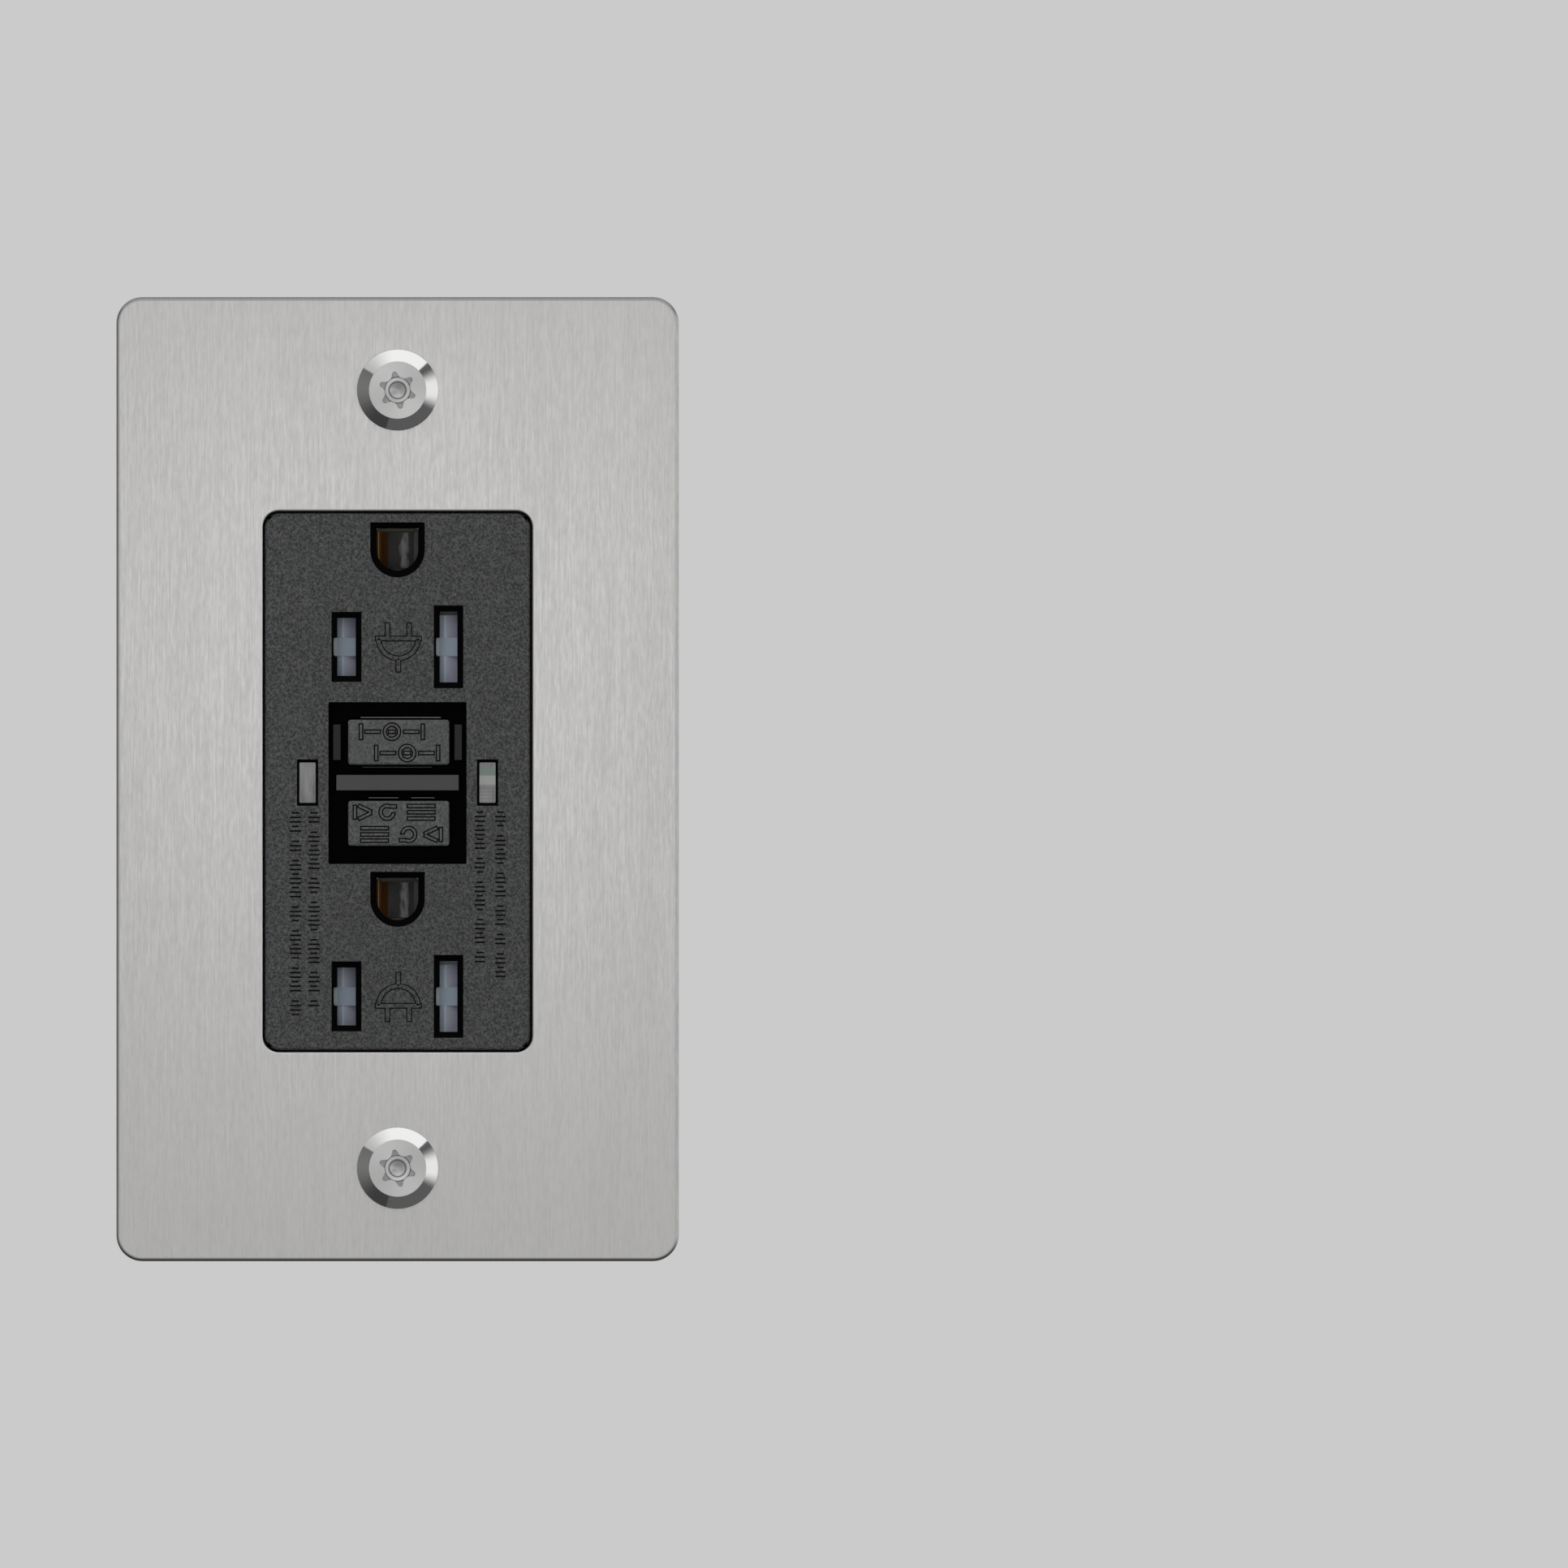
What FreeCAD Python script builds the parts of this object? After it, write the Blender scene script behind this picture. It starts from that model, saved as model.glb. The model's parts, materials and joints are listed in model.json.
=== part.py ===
import FreeCAD, Part
import math
import os

V = FreeCAD.Vector

# Duplex ground-fault receptacle with its wall plate.
# X is right, Z is up and +Y runs into the wall; the wall surface is y = 0.
# The origin is the middle of the two box screws, in the plane of the wall.
# All lengths are in millimetres.

HOT = -1       # side of the short slots and of the brass terminals
NEUTRAL = 1    # side of the tall slots and of the silver terminals
SIDES = (("hot", HOT), ("neutral", NEUTRAL))

# Depth planes
PLATE_FRONT = -7.0
PLATE_BACK = -4.5
FACE_FRONT = -6.8
FACE_BACK = -4.8
FLANGE_FRONT = -3.3
STRAP_FRONT = -1.3
WALL = 0.0
FRAME_FRONT = 0.2
FRAME_FLOOR = 9.7
FRAME_BACK = 11.5
BOARD_FRONT = 23.0
BOARD_BACK = 24.6
HOUSING_FLOOR = 27.4
HOUSING_BACK = 29.0

# Wall plate and its screws
PLATE_W, PLATE_H, PLATE_CORNER = 70.0, 120.0, 3.25
PLATE_EDGE = 0.5
OPENING_W, OPENING_H, OPENING_CORNER, OPENING_EDGE = 33.5, 67.3, 2.0, 0.3
OPENING_Z = -0.3
PLATE_SCREW_Z = 48.42
HEAD_R, HEAD_FLAT_R, HEAD_RIM, HEAD_H = 5.05, 3.55, 0.35, 1.4
SHOULDER_R, SHOULDER_HOLE_R = 3.0, 3.2
THREAD_632_R = 1.75
LOBE_ORBIT, LOBE_R, LOBE_ROOT, LOBE_CORE_R, LOBE_TURN = 2.0, 0.34, 0.68, 1.62, -10.0
LOBE_DEPTH, PILOT_R = 0.45, 1.05

# Backing frame behind the plate
BACKING_W, BACKING_H, BACKING_RIM, BACKING_WEB = 66.0, 116.0, 3.0, 0.9

# Mounting strap
BOX_SCREW_Z = 41.67
BOX_SCREW_NECK_R, RETAINER_R = 1.32, 2.15
BOX_SLOT_W, BOX_SLOT_H = 6.6, 3.8
STRAP_HALF = 53.35
RAIL_IN, RAIL_OUT = 13.2, 15.8
NECK_HALF, EAR_HALF = 11.0, 20.6
GROUND_HOLE_R = 3.6
CROSSBAR_HALF = 4.9
RIVET_X = 5.5

# Face cover
FACE_W, FACE_H, FACE_CORNER, FACE_EDGE = 33.0, 66.8, 1.8, 0.4
FLANGE_W, FLANGE_H, FLANGE_CORNER = 43.0, 71.0, 2.0
CAVITY_X, CAVITY_Z = 14.9, 32.2
HOUSING_W, HOUSING_H, HOUSING_WALL = 42.5, 70.5, 1.6
SCREW_X, SCREW_Z = 18.2, 31.0

# Outlets: the lower one repeats the upper one a pitch below
OUTLET_PITCH = 43.5
UPPER_BLADE_Z = 16.46
UPPER_GROUND_Z = 28.5
BLADE_X = 6.35
SLOT_OUTER = {HOT: (3.8, 8.8), NEUTRAL: (3.75, 10.4)}
SLOT_INNER = {HOT: (2.3, 7.2), NEUTRAL: (2.2, 8.8)}
SLOT_BEVEL = 0.7
OUTLETS = (("upper", 0.0), ("lower", -OUTLET_PITCH))

# Shutters
SHUTTER_TRAVEL = 3.2
SHUTTER_FRONT, SHUTTER_BACK = -4.6, -2.9
SHUTTER_HALF = 4.7
RAMP_BLOCK = 1.15
SPRING_RISE = 6.7

# Buttons
BUTTON_X = 0.15
TEST_Z, RESET_Z = 4.6, -5.5
BUTTON_W, BUTTON_H = 12.6, 5.6
WINDOW_W, WINDOW_H, WINDOW_Z = 17.2, 20.15, -0.48
TEST_FRONT, RESET_FRONT = -6.95, -6.85
BUTTON_FLANGE, BUTTON_SEAT = -3.3, -2.3
GUIDE_BACK = -3.4

# Light pipes
PIPE_X, PIPE_Z, PIPE_W, PIPE_H = 11.2, -0.43, 2.0, 5.0

# Contacts and terminals
STRIP_IN, STRIP_OUT = 7.2, 9.8
PAD_X, PAD_Z = 8.5, -7.5
LINE_Z, LOAD_Z = 22.0, -22.0
TERMINAL_Y = 8.5
PLATE_IN, PLATE_OUT = 17.8, 18.6
CLAMP_IN, CLAMP_OUT = 14.2, 15.35
TERMINAL_SCREW_R = 1.9
WIRE_X, WIRE_STEP, WIRE_R = 16.6, 3.3, 1.5
LEAD_Z0, LEAD_Z1 = 15.2, 17.2

# Trip mechanism
ARM_FRONT, ARM_BACK, ARM_END, ARM_ROOT = 12.0, 12.6, -10.0, 16.5
LATCH_Y0, LATCH_Y1 = 16.7, 17.5
PLUNGER_Y = 17.1
TOROID_Z = 16.2


def block(x, y, z):
    """A box between pairs of limits, given in either order."""
    (x0, x1), (y0, y1), (z0, z1) = sorted(x), sorted(y), sorted(z)
    return Part.makeBox(x1 - x0, y1 - y0, z1 - z0, V(x0, y0, z0))


def sided(side, a, b):
    """A pair of X limits, measured outwards on one side."""
    return (side * a, side * b)


def cyl_x(y, z, r, x):
    x0, x1 = sorted(x)
    return Part.makeCylinder(r, x1 - x0, V(x0, y, z), V(1, 0, 0))


def cyl_y(x, z, r, y0, y1):
    return Part.makeCylinder(r, y1 - y0, V(x, y0, z), V(0, 1, 0))


def cyl_z(x, y, r, z0, z1):
    return Part.makeCylinder(r, z1 - z0, V(x, y, z0), V(0, 0, 1))


def fused(first, *others):
    return first.multiFuse(list(others)).removeSplitter()


def cut(shape, *tools):
    for tool in tools:
        shape = shape.cut(tool)
    return shape


def rounded_wire(w, h, r, y, cx=0.0, cz=0.0):
    """A rectangle with round corners, in a plane of constant Y."""
    x0, x1, z0, z1 = cx - w / 2, cx + w / 2, cz - h / 2, cz + h / 2
    k = r * math.sqrt(0.5)
    corners = (
        (x1 - r, z1 - r, 1, 1),
        (x0 + r, z1 - r, -1, 1),
        (x0 + r, z0 + r, -1, -1),
        (x1 - r, z0 + r, 1, -1),
    )
    edges = []
    last = None
    for ax, az, sx, sz in corners:
        start, end = V(ax + sx * r, y, az), V(ax, y, az + sz * r)
        if sx * sz < 0:
            start, end = end, start
        if last is not None:
            edges.append(Part.makeLine(last, start))
        edges.append(Part.Arc(start, V(ax + sx * k, y, az + sz * k), end).toShape())
        last = end
    edges.append(Part.makeLine(last, edges[0].Vertexes[0].Point))
    return Part.Wire(edges)


def slab(w, h, r, y0, y1, cx=0.0, cz=0.0):
    """A round-cornered plate between two depths."""
    return Part.Face(rounded_wire(w, h, r, y0, cx, cz)).extrude(V(0, y1 - y0, 0))


def front_edges(shape, y):
    return [e for e in shape.Edges if all(abs(v.Y - y) < 1e-6 for v in e.Vertexes)]


def softened(shape, y, radius):
    """The shape with all its edges at one depth rounded."""
    return shape.makeFillet(radius, front_edges(shape, y))


def rectangle_wire(w, h, y, cx, cz):
    a, b = w / 2, h / 2
    points = [V(cx - a, y, cz - b), V(cx + a, y, cz - b), V(cx + a, y, cz + b), V(cx - a, y, cz + b)]
    return Part.makePolygon(points + [points[0]])


def u_wire(w, top, cz, y):
    """A U outline for a round ground pin: flat top, round bottom."""
    r = w / 2
    left, right = V(-r, y, cz), V(r, y, cz)
    arc = Part.Arc(left, V(0, y, cz - r), right).toShape()
    sides = [
        Part.makeLine(right, V(r, y, top)),
        Part.makeLine(V(r, y, top), V(-r, y, top)),
        Part.makeLine(V(-r, y, top), left),
    ]
    return Part.Wire([arc] + sides)


def funnel(outer, inner, depth):
    """A hole that narrows from one outline to a smaller one, then runs straight."""
    taper = Part.makeLoft([outer, inner], True, True)
    return taper.fuse(Part.Face(inner).extrude(V(0, depth, 0)))


def spring_tube(base, direction, length, r_out, r_in):
    """The envelope of a coil spring, as a thin tube."""
    outer = Part.makeCylinder(r_out, length, base, direction)
    return outer.cut(Part.makeCylinder(r_in, length, base, direction))


def cross_recess(x, z, y, size, depth):
    """A cross-shaped driver recess, cut from the front of a head."""
    arm = 0.9
    return fused(
        block((x - size, x + size), (y, y + depth), (z - arm / 2, z + arm / 2)),
        block((x - arm / 2, x + arm / 2), (y, y + depth), (z - size, z + size)),
    )


# ---- Wall plate -----------------------------------------------------------

def wall_plate():
    plate = slab(PLATE_W, PLATE_H, PLATE_CORNER, PLATE_FRONT, PLATE_BACK)
    plate = softened(plate, PLATE_FRONT, PLATE_EDGE)
    inner = slab(OPENING_W, OPENING_H, OPENING_CORNER, PLATE_FRONT - 1, PLATE_BACK + 1, 0, OPENING_Z)
    plate = plate.cut(inner)
    rim = [e for e in front_edges(plate, PLATE_FRONT) if abs(e.CenterOfMass.x) < OPENING_W / 2 + 1
           and abs(e.CenterOfMass.z) < OPENING_H / 2 + 1]
    plate = plate.makeFillet(OPENING_EDGE, rim)
    for z in (PLATE_SCREW_Z, -PLATE_SCREW_Z):
        plate = plate.cut(cyl_y(0, z, SHOULDER_HOLE_R, PLATE_FRONT - 1, PLATE_BACK + 1))
    return plate


def lobed_recess(z):
    """The six-lobe driver recess: shallow lobes round a countersunk pilot hole."""
    top = PLATE_FRONT - HEAD_H
    floor = top + LOBE_DEPTH
    parts = [cyl_y(0, 0, LOBE_CORE_R, top - 1, floor)]
    for i in range(6):
        a = math.radians(60 * i + LOBE_TURN)
        tip = cyl_y(0, LOBE_ORBIT, LOBE_R, top - 1, floor)
        corners = [(-LOBE_ROOT, 1.3), (LOBE_ROOT, 1.3), (LOBE_R, LOBE_ORBIT), (-LOBE_R, LOBE_ORBIT)]
        points = [V(x, top - 1, r) for x, r in corners]
        flank = Part.Face(Part.makePolygon(points + points[:1])).extrude(V(0, floor - top + 1, 0))
        lobe = fused(tip, flank)
        lobe.rotate(V(0, 0, 0), V(0, 1, 0), math.degrees(a))
        parts.append(lobe)
    parts.append(Part.makeCone(LOBE_CORE_R, PILOT_R, 0.1, V(0, floor, 0), V(0, 1, 0)))
    parts.append(cyl_y(0, 0, PILOT_R, floor, floor + 0.3))
    parts.append(Part.makeCone(PILOT_R, 0.05, 0.55, V(0, floor + 0.3, 0), V(0, 1, 0)))
    recess = fused(*parts)
    recess.translate(V(0, 0, z))
    return recess


def plate_screw(z):
    seat = PLATE_FRONT
    rim = cyl_y(0, z, HEAD_R, seat - HEAD_RIM, seat)
    crown = Part.makeCone(HEAD_R, HEAD_FLAT_R, HEAD_H - HEAD_RIM, V(0, seat - HEAD_RIM, z), V(0, -1, 0))
    shoulder = cyl_y(0, z, SHOULDER_R, seat, PLATE_BACK)
    shank = cyl_y(0, z, THREAD_632_R, PLATE_BACK, 5.0)
    body = fused(rim, crown, shoulder, shank)
    return body.cut(lobed_recess(z))


def wall_plate_screws():
    return Part.makeCompound([plate_screw(PLATE_SCREW_Z), plate_screw(-PLATE_SCREW_Z)])


def plate_backing_frame():
    """A moulded frame that fills the plate's depth and rests on the wall."""
    body = slab(BACKING_W, BACKING_H, 2.5, PLATE_BACK, WALL)
    pocket_w, pocket_h = BACKING_W - 2 * BACKING_RIM, BACKING_H - 2 * BACKING_RIM
    body = body.cut(slab(pocket_w, pocket_h, 1.5, PLATE_BACK + BACKING_WEB, WALL + 1))
    body = body.cut(slab(FLANGE_W + 1.0, FLANGE_H + 1.0, 1.5, PLATE_BACK - 1, WALL + 1))
    ribs = []
    for x in (-26.0, 26.0):
        ribs.append(block((x - 0.6, x + 0.6), (PLATE_BACK + BACKING_WEB, WALL), (-50, 50)))
    body = fused(body, *ribs)
    for z in (PLATE_SCREW_Z, -PLATE_SCREW_Z):
        body = body.cut(cyl_y(0, z, SHOULDER_HOLE_R, PLATE_BACK - 1, 0))
    return body


# ---- Mounting strap and its hardware ----------------------------------------

def mounting_strap():
    """The pressed yoke: two rails, two cross bars, two ears and a ground tab."""
    y = (STRAP_FRONT, WALL)
    parts = []
    for s in (-1, 1):
        parts.append(block(sided(s, RAIL_IN, RAIL_OUT), y, (-36, 36)))
        end = slab(2 * NECK_HALF, 16, 2.0, STRAP_FRONT, WALL, 0, s * (STRAP_HALF - 8))
        parts.append(end)
        parts.append(block((-RAIL_OUT, RAIL_OUT), y, (s * 33.0, s * 39.0)))
        parts.append(slab(2 * EAR_HALF, 7.0, 2.0, STRAP_FRONT, WALL, 0, s * 47.4))
    for _, drop in OUTLETS:
        z = UPPER_GROUND_Z + drop
        parts.append(block((-RAIL_IN, RAIL_IN), y, (z - CROSSBAR_HALF, z + CROSSBAR_HALF)))
    parts.append(block((-RAIL_IN, RAIL_IN), y, (UPPER_GROUND_Z, 33.0)))
    strap = fused(*parts)
    for s in (-1, 1):
        slot_corner = BOX_SLOT_H / 2 - 0.01
        slot = slab(BOX_SLOT_W, BOX_SLOT_H, slot_corner, STRAP_FRONT - 1, WALL + 1, 0, s * BOX_SCREW_Z)
        strap = strap.cut(slot)
        strap = strap.cut(cyl_y(0, s * PLATE_SCREW_Z, THREAD_632_R + 0.005, STRAP_FRONT - 1, WALL + 1))
        for x in (-15.5, 15.5):
            strap = strap.cut(block((x - 2.6, x + 2.6), (STRAP_FRONT - 1, WALL + 1),
                                    (s * 47.4 - 0.5, s * 47.4 + 0.5)))
    for _, drop in OUTLETS:
        z = UPPER_GROUND_Z + drop
        strap = strap.cut(cyl_y(0, z, GROUND_HOLE_R, STRAP_FRONT - 1, WALL + 1))
        for x in (-RIVET_X, RIVET_X):
            strap = strap.cut(cyl_y(x, z, 1.005, STRAP_FRONT - 1, WALL + 1))
    return strap.fuse(ground_tab()).removeSplitter()


TAB_X, TAB_Y = -12.0, 5.0
TAB_Z0, TAB_Z1 = -38.0, -36.7
GROUND_SCREW_R = 2.05


def ground_tab():
    tab = block((TAB_X - 3.8, TAB_X + 3.8), (STRAP_FRONT, 9.5), (TAB_Z0, TAB_Z1))
    return tab.cut(cyl_z(TAB_X, TAB_Y, GROUND_SCREW_R + 0.02, TAB_Z0 - 1, TAB_Z1 + 1))


def ground_screw():
    """The green bonding screw: a hexagonal washer head with a slot."""
    head_top = TAB_Z0 - 1.0
    corners = [math.radians(60 * i) for i in range(7)]
    hexagon = Part.makePolygon([
        V(TAB_X + 4.0 * math.cos(a), TAB_Y + 4.0 * math.sin(a), head_top) for a in corners
    ])
    head = Part.Face(hexagon).extrude(V(0, 0, -2.3))
    shank = cyl_z(TAB_X, TAB_Y, GROUND_SCREW_R, head_top, -34.3)
    screw = fused(head, shank)
    slot = block((TAB_X - 4.2, TAB_X + 4.2), (TAB_Y - 0.55, TAB_Y + 0.55), (head_top - 2.4, head_top - 1.1))
    return screw.cut(slot)


def ground_clamp():
    """A square pressure washer held under the ground screw's head."""
    washer = block((TAB_X - 3.9, TAB_X + 3.9), (TAB_Y - 3.9, TAB_Y + 3.9), (TAB_Z0 - 0.95, TAB_Z0 - 0.05))
    return washer.cut(cyl_z(TAB_X, TAB_Y, GROUND_SCREW_R + 0.05, TAB_Z0 - 2, TAB_Z0 + 1))


def box_screws():
    screws = []
    for s in (-1, 1):
        z = s * BOX_SCREW_Z
        head = cyl_y(0, z, 3.5, STRAP_FRONT - 1.8, STRAP_FRONT)
        head = softened(head, STRAP_FRONT - 1.8, 0.6)
        neck = cyl_y(0, z, BOX_SCREW_NECK_R, STRAP_FRONT, WALL)
        thread = cyl_y(0, z, THREAD_632_R, WALL, 16.0)
        screw = fused(head, neck, thread)
        screws.append(screw.cut(cross_recess(0, z, STRAP_FRONT - 1.9, 2.0, 1.3)))
    return Part.makeCompound(screws)


def screw_retainers():
    """Fibre washers on the threads, wider than the slots, that keep the box screws in the strap."""
    washers = []
    for s in (-1, 1):
        z = s * BOX_SCREW_Z
        washer = cyl_y(0, z, RETAINER_R, WALL, 0.8)
        washers.append(washer.cut(cyl_y(0, z, THREAD_632_R + 0.005, -1, 2)))
    return Part.makeCompound(washers)


def ground_contact(drop):
    """A brass yoke with two leaves that grip the ground pin."""
    z = UPPER_GROUND_Z + drop
    base = block((-7.2, 7.2), (WALL, 0.6), (z - 2.4, z + 2.4))
    base = base.cut(block((-2.05, 2.05), (-1, 2), (z - 2.5, z + 2.5)))
    leaves = []
    for s in (-1, 1):
        leaves.append(block(sided(s, 2.05, 2.6), (WALL, 9.0), (z - 2.2, z + 2.2)))
    bridge = block((-2.6, 2.6), (8.4, 9.0), (z - 2.2, z + 2.2))
    contact = fused(base, bridge, *leaves)
    for x in (-RIVET_X, RIVET_X):
        contact = contact.cut(cyl_y(x, z, 1.005, -1, 2))
    return contact


def ground_rivets():
    rivets = []
    for _, drop in OUTLETS:
        z = UPPER_GROUND_Z + drop
        for x in (-RIVET_X, RIVET_X):
            shank = cyl_y(x, z, 1.0, STRAP_FRONT - 0.5, 1.1)
            heads = [cyl_y(x, z, 1.6, STRAP_FRONT - 0.5, STRAP_FRONT), cyl_y(x, z, 1.6, 0.6, 1.1)]
            rivets.append(fused(shank, *heads))
    return Part.makeCompound(rivets)


# ---- Face cover, buttons, light pipes ----------------------------------------

def blade_slot(side, z):
    x = side * BLADE_X
    (w0, h0), (w1, h1) = SLOT_OUTER[side], SLOT_INNER[side]
    hole = funnel(
        rectangle_wire(w0, h0, FACE_FRONT, x, z),
        rectangle_wire(w1, h1, FACE_FRONT + SLOT_BEVEL, x, z),
        4.0,
    )
    depth = (FACE_FRONT - 1, FACE_BACK + 1)
    notch = slab(w1, 2 * RAMP_BLOCK, 0.25, depth[0], depth[1], x - 0.45, z)
    return hole.fuse(notch)


def ground_hole(drop):
    z = UPPER_GROUND_Z + drop
    return funnel(
        u_wire(6.86, z + 3.5, z, FACE_FRONT),
        u_wire(5.15, z + 2.7, z + 0.05, FACE_FRONT + 0.8),
        4.0,
    )


def face_cover():
    raised = slab(FACE_W, FACE_H, FACE_CORNER, FACE_FRONT, FLANGE_FRONT, 0, OPENING_Z)
    raised = softened(raised, FACE_FRONT, FACE_EDGE)
    flange = slab(FLANGE_W, FLANGE_H, FLANGE_CORNER, FLANGE_FRONT, STRAP_FRONT)
    skirt = slab(FLANGE_W, FLANGE_H, FLANGE_CORNER, STRAP_FRONT, WALL)
    skirt = skirt.cut(slab(FLANGE_W - 3, FLANGE_H - 3, 1.0, STRAP_FRONT - 1, WALL + 1))
    skirt = skirt.cut(block((-16.5, 16.5), (STRAP_FRONT - 1, WALL + 1), (-40, 40)))
    cover = fused(raised, flange, skirt)
    cover = cover.cut(block((-CAVITY_X, CAVITY_X), (FACE_BACK, WALL + 1), (-CAVITY_Z, CAVITY_Z)))
    bosses = []
    for x in (-SCREW_X, SCREW_X):
        for z in (-SCREW_Z, SCREW_Z):
            bosses.append(cyl_y(x, z, 2.25, FLANGE_FRONT, 4.0))
    cover = fused(cover, *bosses)
    for x in (-SCREW_X, SCREW_X):
        for z in (-SCREW_Z, SCREW_Z):
            cover = cover.cut(cyl_y(x, z, 1.25, -2.5, 5.0))
    for _, drop in OUTLETS:
        for side in (HOT, NEUTRAL):
            cover = cover.cut(blade_slot(side, UPPER_BLADE_Z + drop))
        cover = cover.cut(ground_hole(drop))
    cover = cover.cut(slab(WINDOW_W, WINDOW_H, 0.2, FACE_FRONT - 1, FACE_BACK + 1, 0, WINDOW_Z))
    for x in (-PIPE_X, PIPE_X):
        cover = cover.cut(funnel(
            rectangle_wire(2.7, 5.86, FACE_FRONT, x, PIPE_Z),
            rectangle_wire(2.04, 5.05, FACE_FRONT + 0.4, x, PIPE_Z),
            4.0,
        ))
    return cover


def button_guide():
    """The bezel behind the button window, with the bar between the buttons."""
    plate = slab(18.8, 23.0, 1.0, FACE_BACK, GUIDE_BACK, 0, WINDOW_Z)
    for z in (TEST_Z, RESET_Z):
        opening = slab(BUTTON_W + 0.3, BUTTON_H + 0.3, 0.4, FACE_BACK - 1, GUIDE_BACK + 1, BUTTON_X, z)
        plate = plate.cut(opening)
    bar = slab(15.2, 1.9, 0.08, -6.1, FACE_BACK, 0, WINDOW_Z + 0.05)
    posts = []
    for s in (-1, 1):
        posts.append(block(sided(s, 7.1, 8.0), (-5.7, FACE_BACK), (TEST_Z - 2.2, TEST_Z + 2.2)))
    return fused(plate, bar, *posts)


def button(front, z):
    """A push button: a rounded key on a wider foot that the guide holds back."""
    key = slab(BUTTON_W, BUTTON_H, 0.35, front, BUTTON_FLANGE, BUTTON_X, z)
    key = softened(key, front, 0.3)
    foot = slab(14.4, 7.0, 0.5, BUTTON_FLANGE, BUTTON_SEAT, BUTTON_X, z)
    return fused(key, foot)


def test_button():
    stem = cyl_y(BUTTON_X, TEST_Z, 1.5, BUTTON_SEAT, FRAME_BACK)
    return fused(button(TEST_FRONT, TEST_Z), stem)


def reset_button():
    hub = cyl_y(BUTTON_X, RESET_Z, 1.9, BUTTON_SEAT, 0.4)
    body = fused(button(RESET_FRONT, RESET_Z), hub)
    return body.cut(cyl_y(BUTTON_X, RESET_Z, 1.2, -4.0, 1.0))


ROD_NECK_Y, ROD_HEAD_Y, ROD_TIP_Y = 14.7, 18.1, 19.3


def reset_rod():
    """The latch pin: a steel rod with a neck that the latch plate hooks."""
    x, z = BUTTON_X, RESET_Z
    shank = cyl_y(x, z, 1.195, -4.0, ROD_NECK_Y)
    neck = cyl_y(x, z, 0.75, ROD_NECK_Y, ROD_HEAD_Y)
    head = cyl_y(x, z, 1.15, ROD_HEAD_Y, ROD_TIP_Y - 0.6)
    tip = Part.makeCone(1.15, 0.5, 0.6, V(x, ROD_TIP_Y - 0.6, z), V(0, 1, 0))
    return fused(shank, neck, head, tip)


def test_spring():
    return spring_tube(V(BUTTON_X, BUTTON_SEAT + 0.02, TEST_Z), V(0, 1, 0), 5.0, 2.3, 1.6)


def reset_spring():
    return spring_tube(V(BUTTON_X, BUTTON_SEAT + 0.02, RESET_Z), V(0, 1, 0), 8.0, 2.8, 2.1)


def light_pipe(side):
    """A clear bar from the front window back to the lamp on the board."""
    x = side * PIPE_X
    window = slab(PIPE_W, PIPE_H, 0.15, FACE_FRONT + 0.25, FACE_BACK, x, PIPE_Z)
    collar = block(sided(side, 9.9, 12.7), (FACE_BACK, -3.9), (PIPE_Z - 3.0, PIPE_Z + 3.0))
    stem = block(sided(side, 10.6, 12.2), (-3.9, 16.5), (PIPE_Z - 2.5, PIPE_Z + 2.5))
    return fused(window, collar, stem)


# ---- Shutters -------------------------------------------------------------------

def shutter(drop):
    """A sliding barrier: solid behind both slots, with openings one travel away."""
    z = UPPER_BLADE_Z + drop
    y = (SHUTTER_FRONT, SHUTTER_BACK)
    plate = block((-12.2, 9.2), y, (z - SHUTTER_HALF, z + SHUTTER_HALF))
    tab = block((-11.0, -9.6), y, (z + SHUTTER_HALF, z + SPRING_RISE + 0.85))
    plate = fused(plate, tab)
    for side in (HOT, NEUTRAL):
        x = side * BLADE_X
        gap = x - SHUTTER_TRAVEL
        plate = plate.cut(block((gap - 1.3, gap + 1.3), (-6, 0), (z - 4.3, z + 4.3)))
        plate = plate.cut(ramp(x, z + (RAMP_BLOCK + 4.4) / 2))
        plate = plate.cut(ramp(x, z - (RAMP_BLOCK + 4.4) / 2))
    x = NEUTRAL * BLADE_X
    step = (SHUTTER_FRONT - 1, SHUTTER_FRONT + 1.2)
    plate = plate.cut(block((x - 1.9, x + 1.6), step, (z + 3.95, z + 4.4)))
    return plate


def ramp(x, z):
    """A two-sided wedge cut: its long side lets a blade push the shutter sideways."""
    low, deep = SHUTTER_FRONT - 0.2, SHUTTER_FRONT + 0.75
    half = (4.4 - RAMP_BLOCK) / 2
    crest = x - 0.4
    left = x - 1.9
    right = x + 1.6
    outline = [(crest, SHUTTER_FRONT), (right, deep), (right, low), (left, low), (left, SHUTTER_FRONT + 0.4)]
    points = [V(a, b, z - half) for a, b in outline]
    return Part.Face(Part.makePolygon(points + points[:1])).extrude(V(0, 0, 2 * half))


def shutter_guide(drop):
    """The tray that carries a shutter and its spring behind the face."""
    z = UPPER_BLADE_Z + drop
    tray = block((-14.7, 14.7), (FACE_BACK, -1.5), (z - 5.0, z + 8.05))
    tray = tray.cut(block((-12.5, 12.7), (-6, -2.8), (z - 4.8, z + 4.8)))
    tray = tray.cut(block((-11.2, 3.0), (-6, -2.5), (z + 4.7, z + SPRING_RISE + 0.95)))
    for side in (HOT, NEUTRAL):
        x = side * BLADE_X
        tray = tray.cut(block((x - 1.4, x + 1.4), (-6, 0), (z - 4.6, z + 4.6)))
    return tray


def shutter_spring(drop):
    z = UPPER_BLADE_Z + drop + SPRING_RISE
    return spring_tube(V(-9.58, -3.6, z), V(1, 0, 0), 12.5, 0.75, 0.45)


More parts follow.
